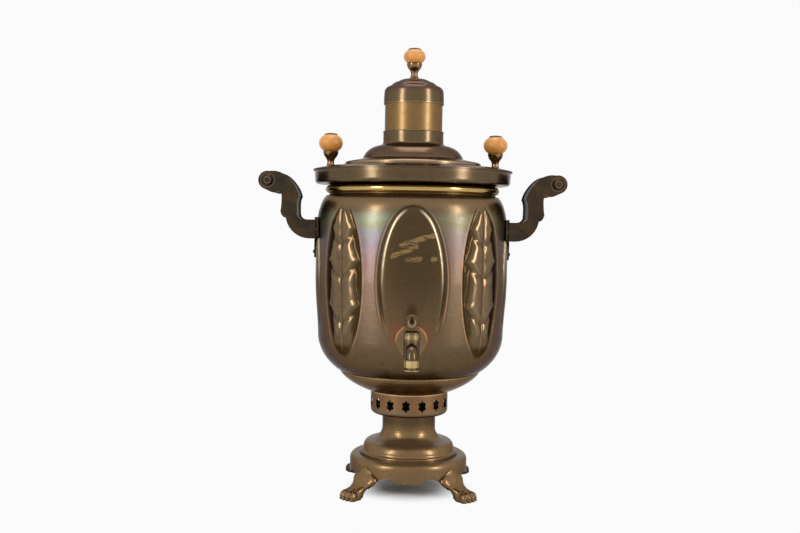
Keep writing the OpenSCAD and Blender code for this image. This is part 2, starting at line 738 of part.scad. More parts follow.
module plate() {
    color(DARK_BRASS) difference() {
        intersection() {
            translate([body_r - 20, 0, handle_under]) rotate([90, 0, 90])
                linear_extrude(30) polygon(plate_outline());
            translate([0, 0, handle_under - BIG / 2]) difference() {
                cylinder(h = BIG, r = plate_front_r);
                translate([0, 0, -1]) cylinder(h = BIG + 2, r = plate_back_r);
            }
        }
        for (p = rivet_places()) rivet_at(p) translate([0, 0, -5]) cylinder(h = 10, r = 1.3);
    }
}

module rivet_at(p) {
    rotate(asin(p[0] / body_r)) translate([plate_front_r, 0, handle_under + p[1]])
        rotate([0, 90, 0]) children();
}

module rivets() {
    color(BRASS) for (p = rivet_places()) rivet_at(p) {
        translate([0, 0, 0.02 - plate_t]) cylinder(h = plate_t, r = 1.25);
        intersection() {
            translate([0, 0, -rivet_r * 0.5]) sphere(rivet_r * 1.2);
            translate([0, 0, 0.02]) cylinder(h = rivet_r, r = rivet_r);
        }
    }
}

module left() { mirror([1, 0, 0]) children(); }

module handle_plate_right() { plate(); }
module handle_plate_left() { left() plate(); }
module handle_rivets_right() { rivets(); }
module handle_rivets_left() { left() rivets(); }
module handle_cheek_front_right() { cheek(-handle_depth / 2); }
module handle_cheek_front_left() { left() cheek(-handle_depth / 2); }
module handle_cheek_rear_right() { cheek(cheek_y); }
module handle_cheek_rear_left() { left() cheek(cheek_y); }
module handle_web_right() { web(); }
module handle_web_left() { left() web(); }
module handle_rod_right() { rod(); }
module handle_rod_left() { left() rod(); }
module handle_buttons_right() { buttons(); }
module handle_buttons_left() { left() buttons(); }

// ---- Tap --------------------------------------------------------------------------------

barrel_y = round(10 * (wall_r(tap_z) + barrel_out)) / 10;
barrel_z = tap_z + 1 - barrel_h / 2;
barrel_top = barrel_z + barrel_h;

// The wall's profile near the tap, from below upwards
function tap_wall() = [for (i = [-5 : 5]) let (z = tap_z + i * 7) [wall_r(z), z]];
function tap_wall_in() = [for (i = [-5 : 5]) let (z = tap_z + i * 5) [inner_r(z), z]];

module shield(grow = 0) {
    w = rosette_w + grow;
    up = rosette_up + grow;
    down = rosette_down + grow;
    half = concat([[0, up]], curve([0, up], [w * 0.5, up + 1], [w * 0.72, up - 4], 4),
        curve([w * 0.72, up - 4], [w * 1.15, up * 0.5], [w * 0.95, 0], 6),
        curve([w * 0.95, 0], [w * 0.7, -down * 0.6], [0, -down], 7));
    polygon(concat(half, [for (i = [len(half) - 2 : -1 : 1]) [-half[i][0], half[i][1]]]));
}

module tap_rosette() {
    color(BRASS) difference() {
        intersection() {
            translate([0, -body_r / 2, tap_z]) rotate([90, 0, 0]) linear_extrude(body_r) shield();
            rotate_extrude() polygon(concat(moved(tap_wall(), -solder_gap - rosette_t),
                reversed(moved(tap_wall(), -solder_gap))));
        }
        tap_bore(shank_r + solder_gap);
    }
}

module tap_washer() {
    slack = 0.35;
    color(LEATHER) difference() {
        intersection() {
            translate([0, -body_r / 2, tap_z]) rotate([90, 0, 0]) cylinder(h = body_r, r = shank_r + 5);
            rotate_extrude() polygon(concat(moved(tap_wall_in(), slack),
                reversed(moved(tap_wall_in(), slack + 1.5))));
        }
        tap_bore(shank_r + solder_gap);
    }
}

// Where the flat nut meets the curved washer, measured from the body's axis
tap_nut_r = shank_r + 3.6;
tap_nut_seat = min(inner_r(tap_z - tap_nut_r), inner_r(tap_z + tap_nut_r)) - 2.1;
tap_nut_face = sqrt(pow(tap_nut_seat, 2) - pow(tap_nut_r, 2));

module tap_nut() {
    color(BRASS) translate([0, -tap_nut_face, tap_z]) rotate([-90, 0, 0]) difference() {
        cylinder(h = 5, r = tap_nut_r, $fn = 6);
        translate([0, 0, -1]) cylinder(h = 7, r = shank_r + solder_gap);
    }
}

// The inside of the barrel, wider by gap than the plug
module plug_cone(gap) {
    translate([0, -barrel_y, barrel_z - 1])
        cylinder(h = barrel_h + 2, r1 = plug_r - plug_taper + gap, r2 = plug_r + gap);
}

// Height of the outlet's lip
outlet_z = tap_z - bend_r - facet_h - 3.2;
module tap_body() {
    shank_end = tap_nut_face - 6;
    nozzle_y = barrel_y + 2 * bend_r;
    color(BRASS) difference() {
        union() {
            translate([0, -shank_end, tap_z]) rotate([90, 0, 0])
                cylinder(h = barrel_y - shank_end, r = shank_r);
            translate([0, -barrel_y, barrel_z]) cylinder(h = barrel_h, r = barrel_r);
            translate([0, -barrel_y, tap_z]) rotate([90, 0, 0]) cylinder(h = bend_r, r = spout_r);
            bend() circle(spout_r);
            translate([0, -nozzle_y, outlet_z]) {
                cylinder(h = 1.6, r = lip_r);
                cylinder(h = facet_h + 3.2, r = spout_r);
                translate([0, 0, 3.2]) cylinder(h = facet_h, r = facet_r, $fn = 8);
            }
        }
        plug_cone(running_gap);
        translate([0, 1 - shank_end, tap_z]) rotate([90, 0, 0])
            cylinder(h = barrel_y + bend_r - shank_end + 1, r = water_r);
        bend() circle(water_r);
        translate([0, -nozzle_y, outlet_z - 1]) cylinder(h = facet_h + 4.2, r = water_r);
    }
}

// A quarter turn of a round bar from level to upright, in front of the barrel
module bend() {
    translate([0, -barrel_y - bend_r, tap_z - bend_r]) rotate([0, -90, 0]) rotate(-90)
        rotate_extrude(angle = 90) translate([bend_r, 0]) children();
}

// The key's flat handle: a loop with a drop-shaped opening and a scroll on each side
module key_loop() {
    difference() {
        union() {
            translate([0, loop_r + 4.5]) circle(loop_r);
            polygon([[-4, 0], [4, 0], [5, 9], [-5, 9]]);
            for (s = [-1, 1]) translate([s * (loop_r - 0.6), 3.4]) circle(2.4);
        }
        hull_drop();
        for (s = [-1, 1]) translate([s * (loop_r - 0.4), 3.4]) circle(1);
    }
}

module hull_drop() {
    r = loop_r * 0.42;
    polygon(concat(arc([0, loop_r + 3.2], r, -210, 30, 12), [[0, loop_r * 2 + 2.4]]));
}

module tap_key() {
    color(BRASS) {
        difference() {
            union() {
                intersection() {
                    plug_cone(0);
                    translate([0, -barrel_y, barrel_z - 0.5]) cylinder(h = barrel_h + 0.7, r = plug_r + 1);
                }
                translate([0, -barrel_y, barrel_top + 0.1]) cylinder(h = 2.4, r = barrel_r - 0.3);
                translate([0, -barrel_y, barrel_top + 2.5])
                    cylinder(h = 1.6, r1 = barrel_r - 0.3, r2 = 4.2);
            }
            translate([-20, -barrel_y, tap_z]) rotate([0, 90, 0]) cylinder(h = 40, r = water_r);
        }
        translate([0, -barrel_y + 1.7, barrel_top + 4]) rotate([90, 0, 0]) linear_extrude(3.4) key_loop();
    }
}

// ---- Lid --------------------------------------------------------------------------------

// The lid's upper face, from its edge up to the neck
function lid_line() = concat(
    [[lid_edge_r, lid_z], [lid_edge_r, lid_z + lid_edge_h], [lid_flat_r, flat_z],
     [step_r + 4, flat_z], [step_r + 1, flat_z + 1.6], [step_r, flat_z + step_h - 2],
     [step_r - 1, flat_z + step_h - 1], [dome_r + 1.5, flat_z + dome_z - 1.8], [dome_r, flat_z + dome_z - 1]],
    curve([dome_r, flat_z + dome_z - 1], [dome_r - 4.2, flat_z + dome_z + dome_h * 0.78],
        [lid_neck_r + 6, flat_z + dome_z + dome_h], 9),
    oval_arc([lid_neck_r + 6, flat_z + dome_z + dome_h + lid_cove_h], 6, lid_cove_h, 262, 180, 5),
    [[lid_neck_r, lid_top_z()]]);

function lid_top_z() = flat_z + dome_z + dome_h + lid_cove_h + lid_neck_h;

// Height of the lid's underside on the slope outside its flat ring
function lid_under(r) =
    let (under = moved(lid_line(), sheet), t = (r - under[2][0]) / (under[1][0] - under[2][0]))
    under[2][1] + t * (under[1][1] - under[2][1]);

module lid_shell() {
    color(RED_BRASS) difference() {
        union() {
            sheet_turned(lid_line());
            translate([0, 0, lid_top_z() - roll_r]) rotate_extrude()
                translate([lid_neck_r, 0]) intersection() {
                    circle(roll_r);
                    translate([-sheet / 2, -roll_r]) square(roll_r * 2 + sheet);
                }
        }
        for (s = [-1, 1]) translate([s * knob_x, 0, flat_z - 5]) cylinder(h = 10, r = stem_bore);
        translate([0, knob_x, flat_z - 5]) cylinder(h = 10, r = vent_r - sheet);
    }
}

module lid_rim() {
    out_r = collar_r - sheet - 1;
    in_r = out_r - sheet;
    color(RED_BRASS) rotate_extrude()
        polygon([[in_r, lid_z - rim_h], [out_r, lid_z - rim_h], [out_r, lid_under(out_r)],
                 [in_r, lid_under(in_r)]]);
}

// ---- Knobs: each stands on the level z = 0 ------------------------------------------------

module knob_stem() {
    foot_r = waist_r + 1.9;
    waist_z = stem_h * 0.34;
    cup = [cup_r - 2.5, stem_h * 0.62];
    color(GOLD) difference() {
        rotate_extrude() polygon(concat(
            [[0, 0], [foot_r, 0], [foot_r - 0.2, 1.2]],
            curve([foot_r - 0.2, 1.2], [waist_r, 3], [waist_r, waist_z], 5),
            curve([waist_r, waist_z], [waist_r + 0.3, stem_h * 0.49], cup, 5),
            curve(cup, [cup_r - 0.4, stem_h * 0.75], [cup_r, stem_h - 0.8], 5),
            [[cup_r - 0.4, stem_h], [0, stem_h]]));
        translate([0, 0, -1]) cylinder(h = stem_h + 2, r = stem_bore);
    }
}

// A bulb of radius r and height h between the cup below it and the crown above it
module knob_wood(r, h) {
    a = acos((cup_r - 1) / r);
    b = acos(crown_r / r);
    ry = h / (sin(a) + sin(b));
    color(WOOD) difference() {
        rotate_extrude() polygon(concat([[0, stem_h]],
            oval_arc([0, stem_h + ry * sin(a)], r, ry, -a, b, 18), [[0, stem_h + h]]));
        translate([0, 0, stem_h - 1]) cylinder(h = h + 2, r = stem_bore);
    }
}

module knob_bolt(h) {
    top = stem_h + h;
    color(DARK_BRASS) {
        translate([0, 0, -sheet - nut_h - 1]) cylinder(h = top + sheet + nut_h + 1.5, r = bolt_r);
        translate([0, 0, top]) rotate_extrude()
            polygon(concat([[0, 0], [crown_r, 0]], oval_arc([0, 0.5], crown_r, crown_h - 0.5, 0, 90, 8)));
    }
}

module knob_nut() {
    color(GOLD) translate([0, 0, -sheet - nut_h]) difference() {
        cylinder(h = nut_h, r = nut_r, $fn = 6);
        translate([0, 0, -1]) cylinder(h = nut_h + 2, r = stem_bore);
    }
}

module on_lid(side) { translate([side * knob_x, 0, flat_z]) children(); }

module lid_knob_stem_left() { on_lid(-1) knob_stem(); }
module lid_knob_stem_right() { on_lid(1) knob_stem(); }
module lid_knob_wood_left() { on_lid(-1) knob_wood(bulb_r, bulb_h); }
module lid_knob_wood_right() { on_lid(1) knob_wood(bulb_r, bulb_h); }
module lid_knob_bolt_left() { on_lid(-1) knob_bolt(bulb_h); }
module lid_knob_bolt_right() { on_lid(1) knob_bolt(bulb_h); }
module lid_knob_nut_left() { on_lid(-1) knob_nut(); }
module lid_knob_nut_right() { on_lid(1) knob_nut(); }

// ---- Steam vent, on the rear of the lid ---------------------------------------------------

vent_cap_r = vent_r + running_gap;
vent_hole_z = vent_h - 3.2;

module vent_holes(turn) {
    for (k = [0 : 2]) rotate(turn + k * 120) translate([0, 0, vent_hole_z])
        rotate([0, 90, 0]) cylinder(h = 20, r = vent_hole_r);
}

module steam_vent_tube() {
    color(BRASS) translate([0, knob_x, flat_z]) difference() {
        union() {
            cylinder(h = vent_h, r = vent_r);
            cylinder(h = 1, r = vent_r + 2.5);
        }
        translate([0, 0, -1]) cylinder(h = vent_h + 2, r = vent_r - sheet);
        vent_holes(30);
    }
}

module steam_vent_cap() {
    skirt_z = vent_hole_z - 2.6;
    color(BRASS) translate([0, knob_x, flat_z]) difference() {
        union() {
            translate([0, 0, skirt_z]) cylinder(h = vent_h + sheet - skirt_z, r = vent_cap_r + sheet);
            translate([0, 0, vent_h + sheet]) rotate_extrude() polygon(concat(
                [[0, 0], [vent_cap_r, 0], [2.2, 1.4], [1.6, 2.4]],
                arc([0, 4.6], 2.6, -52, 90, 7)));
        }
        translate([0, 0, skirt_z - 1]) cylinder(h = vent_h - skirt_z + 1, r = vent_cap_r);
        vent_holes(90);
    }
}

// ---- Cap on the fire tube -----------------------------------------------------------------

// The cap's outer face, from its lip up to the middle of its top
function cap_line() = concat(
    [[cap_r, tube_top - cap_cover], [cap_r - 0.2, tube_top]],
    oval_arc([cap_step_r, tube_top + cap_side_h], cap_r - 0.6 - cap_step_r, cap_round_h, 0, 90, 7),
    [[cap_step_r, seat_z]],
    curve([cap_step_r, seat_z], [cap_step_r - 3, seat_z + 3.4], [cap_top_r + 0.5, seat_z + 4.6], 4),
    [[cap_top_r, seat_z + 5.4], [cap_top_r - 3, cap_top_z - 0.4], [8, cap_top_z], [0, cap_top_z]]);

module cap_shell() {
    ledge_r = tube_r - tube_sheet;
    color(RED_BRASS) difference() {
        rotate_extrude() difference() {
            polygon(concat(cap_line(), [[0, tube_top - cap_cover]]));
            translate([0, tube_top - cap_cover - 1]) square([tube_r + lift_gap, cap_cover + 1]);
            intersection() {
                polygon(concat(moved(cap_line(), sheet), [[0, tube_top - cap_cover]]));
                translate([0, tube_top - 1]) square([ledge_r, 50]);
            }
        }
        translate([0, 0, cap_top_z - 10]) cylinder(h = 20, r = stem_bore);
    }
}

module on_cap() { translate([0, 0, cap_top_z]) children(); }

module cap_knob_stem() { on_cap() knob_stem(); }
module cap_knob_wood() { on_cap() knob_wood(cap_bulb_r, cap_bulb_h); }
module cap_knob_bolt() { on_cap() knob_bolt(cap_bulb_h); }
module cap_knob_nut() { on_cap() knob_nut(); }

// ---- Nodes --------------------------------------------------------------------------------

base_drum();
foot_front_left();
foot_front_right();
foot_rear_left();
foot_rear_right();
foot_screws();
pedestal();
ash_floor();
air_ring();
grate();
body_bowl();
body_wall();
bead_ring();
top_collar();
fire_tube();
handle_plate_left();
handle_plate_right();
handle_rivets_left();
handle_rivets_right();
handle_cheek_front_left();
handle_cheek_front_right();
handle_cheek_rear_left();
handle_cheek_rear_right();
handle_web_left();
handle_web_right();
handle_rod_left();
handle_rod_right();
handle_buttons_left();
handle_buttons_right();
tap_rosette();
tap_body();
tap_washer();
tap_nut();
tap_key();
lid_shell();
lid_rim();
lid_knob_stem_left();
lid_knob_stem_right();
lid_knob_wood_left();
lid_knob_wood_right();
lid_knob_bolt_left();
lid_knob_bolt_right();
lid_knob_nut_left();
lid_knob_nut_right();
steam_vent_tube();
steam_vent_cap();
cap_shell();
cap_knob_stem();
cap_knob_wood();
cap_knob_bolt();
cap_knob_nut();
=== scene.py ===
"""Dresses a charcoal-fired brass samovar: finishes for every part of the frame, the embossed
wall and the lion-paw feet as fine meshes, and a plain studio round them. Everything stands in
the frame's own axes: +Z up, the tap towards -Y, the handles along X. Blender's lengths are in
metres, and the sizes in this file are in millimetres and degrees unless they say otherwise."""

import math

import bmesh
import bpy
import numpy as np
from bpy.props import FloatProperty, FloatVectorProperty, IntProperty, PointerProperty
from mathutils import Matrix, Vector


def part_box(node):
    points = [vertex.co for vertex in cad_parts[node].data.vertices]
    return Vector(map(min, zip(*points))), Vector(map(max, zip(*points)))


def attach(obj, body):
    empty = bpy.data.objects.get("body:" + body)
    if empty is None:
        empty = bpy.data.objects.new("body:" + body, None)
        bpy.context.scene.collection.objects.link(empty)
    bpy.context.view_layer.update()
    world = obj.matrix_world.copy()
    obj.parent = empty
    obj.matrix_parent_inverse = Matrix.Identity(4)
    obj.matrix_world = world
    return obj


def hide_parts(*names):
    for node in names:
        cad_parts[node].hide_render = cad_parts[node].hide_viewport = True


bl_info = {
    "name": "Brass samovar",
    "version": (1, 0, 0),
    "blender": (4, 5, 0),
    "location": "View3D > Sidebar > Samovar",
    "description": "Builds the finish and the fine shapes of a brass samovar on its frame",
    "category": "Object",
}

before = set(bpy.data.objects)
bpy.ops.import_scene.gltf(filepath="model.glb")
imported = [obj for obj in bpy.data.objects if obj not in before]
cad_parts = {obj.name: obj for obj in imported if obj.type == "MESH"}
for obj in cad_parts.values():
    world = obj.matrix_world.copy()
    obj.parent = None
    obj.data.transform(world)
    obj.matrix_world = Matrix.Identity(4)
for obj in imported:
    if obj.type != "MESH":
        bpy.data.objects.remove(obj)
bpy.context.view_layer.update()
BODY = "samovar"
MM = 0.001

# The wall that the fine mesh and its finish share with the frame: it rises from a seam through
# a rounded corner and a taper to a straight part, and ends in a rounded shoulder under a neck
WALL_LOW, WALL_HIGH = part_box("body_wall")
SEAM_Z = WALL_LOW.z / MM
BODY_R = WALL_HIGH.x / MM
SEAM_R, CORNER_R, SHOULDER_R, NECK_R = 79.6, 105, 98, 94.5
WALL_H, CORNER_H, TAPER_H, SHOULDER_H, NECK_H = 197, 42, 62, 31, 15.2
WALL_SHEET = 1.2
CORNER_TOP = SEAM_Z + CORNER_H
SHOULDER_Z = SEAM_Z + WALL_H

# The embossing: four plain ovals and four leaf ovals by turns, with half their widths in degrees
PANEL_MID = SEAM_Z + 105
PANEL_H = 166
PLAIN_HALF, LEAF_HALF = 20.4, 15.6
CUSHION, GROOVE = 1.6, 1.8
LEAF_CUSHION = CUSHION * 1.3
PLAIN_R = BODY_R - CUSHION
DEGREE = BODY_R * math.pi / 180

# The drum's radius, and where the feet stand on it in degrees from +X towards +Y
DRUM_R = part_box("base_drum")[1].x / MM
CORNERS = {"rear_right": 45, "rear_left": 135, "front_left": 225, "front_right": 315}


# ---- Sizes and colours that a user may change ---------------------------------------------


def colour_prop(name, description, default):
    return FloatVectorProperty(
        name=name, description=description, subtype="COLOR", size=3, min=0, max=1, default=default
    )


class SamovarFinish(bpy.types.PropertyGroup):
    """Colours and ageing of the metal and the wood."""

    wall: colour_prop("Body brass", "Tarnished brass of the water body", (0.099, 0.059, 0.0235))
    base: colour_prop("Base brass", "Brass of the pedestal and the base", (0.168, 0.1, 0.041))
    lid: colour_prop("Lid brass", "Reddish brown brass of the lid and cap", (0.096, 0.054, 0.029))
    collar: colour_prop("Collar brass", "Olive brown brass of the collar", (0.088, 0.054, 0.021))
    bright: colour_prop("Turned brass", "Yellow brass of the bead", (0.42, 0.28, 0.09))
    tube: colour_prop("Tube brass", "Matt yellow brass of the fire tube", (0.21, 0.12, 0.04))
    ring: colour_prop("Ring copper", "Coppery brass of the air ring", (0.165, 0.083, 0.034))
    handle: colour_prop("Handle brass", "Dark patina of the handles", (0.035, 0.025, 0.016))
    tap: colour_prop("Tap brass", "Brown brass of the tap", (0.15, 0.095, 0.043))
    wood: colour_prop("Knob wood", "Varnished wood of the knobs", (0.62, 0.26, 0.045))
    wood_dark: colour_prop("Knob grain", "Dark grain of the knobs", (0.38, 0.13, 0.022))
    # Colour laid in creases: partly grime, partly painted shade
    grime: colour_prop("Grime", "Dirt that has settled in the hollows", (0.022, 0.014, 0.008))
    wear: FloatProperty(
        name="Wear", description="Strength of stains, scratches and grime", min=0, max=2, default=1
    )


class SamovarWall(bpy.types.PropertyGroup):
    """Fineness of the embossed wall."""

    columns: IntProperty(
        name="Columns", description="Mesh columns round the body", min=180, max=1080, default=504
    )
    row_step: FloatProperty(
        name="Row step", description="Height of a mesh row in the panels", subtype="DISTANCE",
        unit="LENGTH", min=0.0005, max=0.004, default=0.00128,
    )


class SamovarFeet(bpy.types.PropertyGroup):
    """Shape of the lion paws."""

    reach: FloatProperty(
        name="Reach", description="Distance of the claws' tips from the axis", subtype="DISTANCE",
        unit="LENGTH", min=0.09, max=0.102, default=0.0985,
    )
    toe_gap: FloatProperty(
        name="Toe spacing", description="Distance between two toes", subtype="DISTANCE",
        unit="LENGTH", min=0.004, max=0.006, default=0.0051,
    )
    voxel: FloatProperty(
        name="Voxel", description="Fineness of the cast shape", subtype="DISTANCE",
        unit="LENGTH", min=0.0003, max=0.002, default=0.0006,
    )


class SamovarStage(bpy.types.PropertyGroup):
    """The studio round the samovar."""

    floor: colour_prop("Floor", "Colour of the floor round the samovar", (0.9, 0.9, 0.9))
    backdrop: colour_prop("Backdrop", "Colour of the surround", (0.964, 0.964, 0.964))
    lamp: FloatProperty(
        name="Lamp power", description="Power of each soft lamp", subtype="POWER", unit="POWER",
        min=0, max=200, default=15,
    )
    lens: FloatProperty(
        name="Lens", description="Focal length of the camera", unit="CAMERA", min=20, max=200,
        default=45,
    )


def settings(name):
    return getattr(bpy.context.scene, f"samovar_{name}")


# ---- Shader maths ---------------------------------------------------------------------------


class Value:
    """A number that changes over a surface. Expressions on it add Math nodes."""

    def __init__(self, tree, socket):
        self.tree = tree
        self.socket = socket

    def output(self, name):
        """Another output of the node that this value comes from."""
        return Value(self.tree, self.socket.node.outputs[name])

    def math(self, operation, *others, clamp=False):
        return self.tree.math(operation, self, *others, clamp=clamp)

    def __add__(self, other):
        return self.math("ADD", other)

    __radd__ = __add__

    def __mul__(self, other):
        return self.math("MULTIPLY", other)

    __rmul__ = __mul__

    def __sub__(self, other):
        return self.math("SUBTRACT", other)

    def __rsub__(self, other):
        return self.tree.math("SUBTRACT", other, self)

    def __truediv__(self, other):
        return self.math("DIVIDE", other)

    def __rtruediv__(self, other):
        return self.tree.math("DIVIDE", other, self)

    def __abs__(self):
        return self.math("ABSOLUTE")

    def at_least(self, other):
        return self.math("MAXIMUM", other)

    def clamped(self):
        return self.math("ADD", 0, clamp=True)

    def beside(self, other):
        """Length of the slanting side over two sides that stand square to each other."""
        return (self * self + other * other).math("SQRT")

    def step(self, low, high):
        """0 up to low, 1 from high, and smooth between them."""
        return self.tree.add(
            "MapRange", {"interpolation_type": "SMOOTHSTEP"},
            {"Value": self, "From Min": low, "From Max": high},
        )

    def band(self, low, full, waning, high):
        """0 up to low, 1 from full to waning, and 0 again from high."""
        return self.step(low, full) * (1 - self.step(waning, high))

    def line(self, place, width):
        """1 at a place and 0 from half a width away from it."""
        return 1 - abs(self - place).step(0, width / 2)


class Tree:
    """A tree of shader nodes."""

    def __init__(self, node_tree):
        self.nodes = node_tree.nodes
        self.links = node_tree.links

    def add(self, kind, choices=None, sockets=None, output=0):
        """Adds a node: its own settings first, then the values or links of its sockets."""
        node = self.nodes.new("ShaderNode" + kind)
        for name, value in (choices or {}).items():
            if name == "stops":
                set_stops(node.color_ramp.elements, value)
            else:
                setattr(node, name, value)
        for name, value in (sockets or {}).items():
            self.join(node.inputs[name], value)
        return Value(self, node.outputs[output])

    def join(self, socket, value):
        """Links a value to a socket, or sets the socket to a number or a colour."""
        if isinstance(value, Value):
            self.links.new(value.socket, socket)
        elif socket.type == "RGBA":
            socket.default_value = (*value[:3], 1)
        else:
            socket.default_value = value

    def math(self, operation, *inputs, clamp=False):
        choices = {"operation": operation, "use_clamp": clamp}
        return self.add("Math", choices, dict(enumerate(inputs)))

    def vector(self, x, y, z):
        return self.add("CombineXYZ", None, {"X": x, "Y": y, "Z": z})

    def mix(self, a, b, factor):
        """Colour a where the factor is 0 and colour b where it is 1."""
        return self.add("Mix", {"data_type": "RGBA"}, {0: factor, 6: a, 7: b}, 2)

    def noise(self, vector, scale, detail=3.0, roughness=0.5, distortion=0.0):
        return self.add("TexNoise", None, {
            "Vector": vector, "Scale": scale, "Detail": detail, "Roughness": roughness,
            "Distortion": distortion,
        })

    def bump(self, height, distance, strength, normal=None):
        sockets = {"Height": height, "Distance": distance * MM, "Strength": strength}
        if normal:
            sockets["Normal"] = normal
        return self.add("Bump", None, sockets)


def set_stops(elements, stops):
    """Gives a colour ramp its stops, each a place from 0 to 1 and a colour."""
    while len(elements) < len(stops):
        elements.new(0.5)
    for element, (place, colour) in zip(elements, stops):
        element.position = place
        element.color = (*colour, 1)


class Finish(Tree):
    """A material, with its surface's place in the frame as x, y and z in millimetres."""

    def __init__(self, name):
        self.material = bpy.data.materials.new(name)
        self.material.use_nodes = True
        super().__init__(self.material.node_tree)
        self.shader = self.nodes["Principled BSDF"]
        place = self.add("TexCoord", output="Object")
        parts = self.add("SeparateXYZ", None, {"Vector": place})
        self.x, self.y, self.z = (parts.output(axis) * 1000 for axis in "XYZ")
        self.spot = self.vector(self.x, self.y, self.z)

    def set(self, **sockets):
        """Sets the surface shader's sockets, named in lower case with underscores."""
        names = {socket.name.lower().replace(" ", "_"): socket for socket in self.shader.inputs}
        for name, value in sockets.items():
            self.join(names[name], value)

    def crease(self, distance):
        """0 in the open and towards 1 in a crease."""
        return 1 - self.add(
            "AmbientOcclusion", {"samples": 6}, {"Distance": distance * MM}, "AO"
        )


class OldBrass(Finish):
    """Old brass with stains, fine lathe lines, specks, and grime with painted shade in its
    creases, under a thin dull film. The film is a weak coat, and it takes the bright rims away. A
    turned piece also has its surface's angle round the axis, 0 at the front, and distance from the
    axis."""

    FILM = {"specular_tint": (0.3, 0.27, 0.23), "coat_weight": 0.3, "coat_roughness": 0.2}
    WARM = (0.2, 0.07, 0.03)
    GREEN = (0.06, 0.065, 0.025)

    def __init__(self, name, colour, rough, turned=True, stains=1.0, grime_depth=6, grime_and_shade_amount=0.6):
        super().__init__(name)
        sizes = settings("finish")
        wear = 0.5 * sizes.wear * stains
        clouds = self.noise(self.spot, 0.022, 4.0, 0.6, 0.6)
        mottle = self.noise(self.spot, 0.16, 4.0, 0.65)
        specks = self.noise(self.spot, 1.1, 2.0, 0.6)
        if turned:
            self.angle = self.x.math("ARCTAN2", self.y * -1) * (180 / math.pi)
            self.radius = self.x.beside(self.y)
            grain = self.vector(self.angle * 0.012, self.radius * 1.1, self.z * 2.4)
        else:
            grain = self.vector(self.x * 0.25, self.y * 0.25, self.z * 1.6)
        lines = self.noise(grain, 1.0, 3.0, 0.7)
        self.tone = shade(colour, 1.12)
        self.paint(blend_tone(colour, self.WARM, 0.3), clouds.step(0.48, 0.7) * (1.1 * wear))
        self.paint(blend_tone(colour, self.GREEN, 0.4), (1 - clouds).step(0.52, 0.72) * wear)
        self.paint(shade(colour, 0.62), mottle.step(0.5, 0.72) * wear)
        self.paint(shade(colour, 1.3), lines.step(0.55, 0.75) * 0.25)
        self.paint(shade(colour, 0.35), specks.step(0.66, 0.74) * wear)
        # The creases are darkened with the grime colour: partly grime, partly painted shade
        grime_and_shade = self.crease(grime_depth).step(0.35, 1.0) * grime_and_shade_amount
        self.paint(sizes.grime, grime_and_shade)
        self.roughness = rough + (mottle - 0.5) * 0.16 + (lines - 0.5) * 0.12 + grime_and_shade * 0.3
        self.normal = self.bump(lines * 0.3 + specks * 0.1 + mottle * 0.6, 0.05, 0.6)

    def paint(self, colour, amount):
        """Lays a colour over what is there, by an amount from 0 to 1."""
        self.tone = self.mix(self.tone, colour, amount)

    def done(self, **sockets):
        """The material, with its tone, roughness and relief on the surface shader."""
        self.set(**{
            "base_color": self.tone, "metallic": 1.0, "roughness": self.roughness.clamped(),
            "normal": self.normal, **self.FILM, **sockets,
        })
        return self.material


def shade(colour, factor):
    """The colour made darker or lighter."""
    return tuple(min(1, channel * factor) for channel in colour)


def blend_tone(a, b, share):
    """Colour a with a share of colour b in it."""
    return tuple(x + (y - x) * share for x, y in zip(a, b))


def box_mm(node):
    """A frame node's lowest and highest corners."""
    return [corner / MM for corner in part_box(node)]


# ---- Finishes -------------------------------------------------------------------------------


def plain_brass(name, colour, rough=0.3, coat=0.3, **ageing):
    """Old brass that is alike all over."""
    return OldBrass(name, colour, rough, **ageing).done(coat_weight=coat)


# Colours that wear, dirt and heat give the brass, and colours of painted highlights, shade
# and reflections, first those of the wall
DARK_OVAL = (0.036, 0.02, 0.005)
GREEN_GLEAM = (0.15, 0.16, 0.05)
BROWN_SHOULDER = (0.19, 0.12, 0.058)
RUBBED_EDGE = (0.5, 0.27, 0.12)
PAINTED_RIDGE_HIGHLIGHT = (0.62, 0.5, 0.32)
RUBBED_LEAF_AND_HIGHLIGHT = (0.21, 0.14, 0.07)
RUBBED_RIB = (0.4, 0.2, 0.1)
SCUFFED = (0.31, 0.19, 0.075)
PAINTED_RED_REFLECTION = (0.22, 0.06, 0.03)

# Of the lid and the cap
YELLOW_UPRIGHT = (0.12, 0.08, 0.035)
RED_CROWN = (0.085, 0.045, 0.034)
RIM_HIGHLIGHT = (0.4, 0.27, 0.15)

# Of the base and the air ring
SHADE_UNDER_RING = (0.06, 0.032, 0.008)
UPWARD_GREY = (0.17, 0.115, 0.07)
DULL_COPPER = (0.155, 0.115, 0.062)
GOLD_EDGE_HIGHLIGHT = (0.6, 0.4, 0.18)

# Of the tap and its plate
COPPER_RIM = (0.5, 0.22, 0.07)
POLISH_AND_HIGHLIGHT = (0.44, 0.31, 0.14)
DARK_BOW = (0.075, 0.05, 0.028)
EYE_HIGHLIGHT = (0.5, 0.38, 0.22)

# Of the handles and their end buttons
OCHRE = (0.085, 0.048, 0.014)
OLIVE = (0.02, 0.022, 0.012)
RUSSET = (0.055, 0.024, 0.015)
RING_SHADE = (0.012, 0.01, 0.008)
RING_HIGHLIGHT = (0.26, 0.2, 0.14)

# Heat colours between the ovals, from the corner up to the shoulder
HEAT_COLOURS = (
    (0.0, (0.11, 0.073, 0.045)), (0.25, (0.155, 0.1, 0.066)), (0.42, (0.17, 0.11, 0.088)),
    (0.55, (0.17, 0.1, 0.105)), (0.66, (0.15, 0.12, 0.15)), (0.74, (0.15, 0.15, 0.17)),
    (0.8, (0.17, 0.18, 0.11)), (0.88, (0.15, 0.19, 0.15)), (0.95, (0.15, 0.17, 0.16)),
    (1.0, (0.1, 0.065, 0.03)),
)

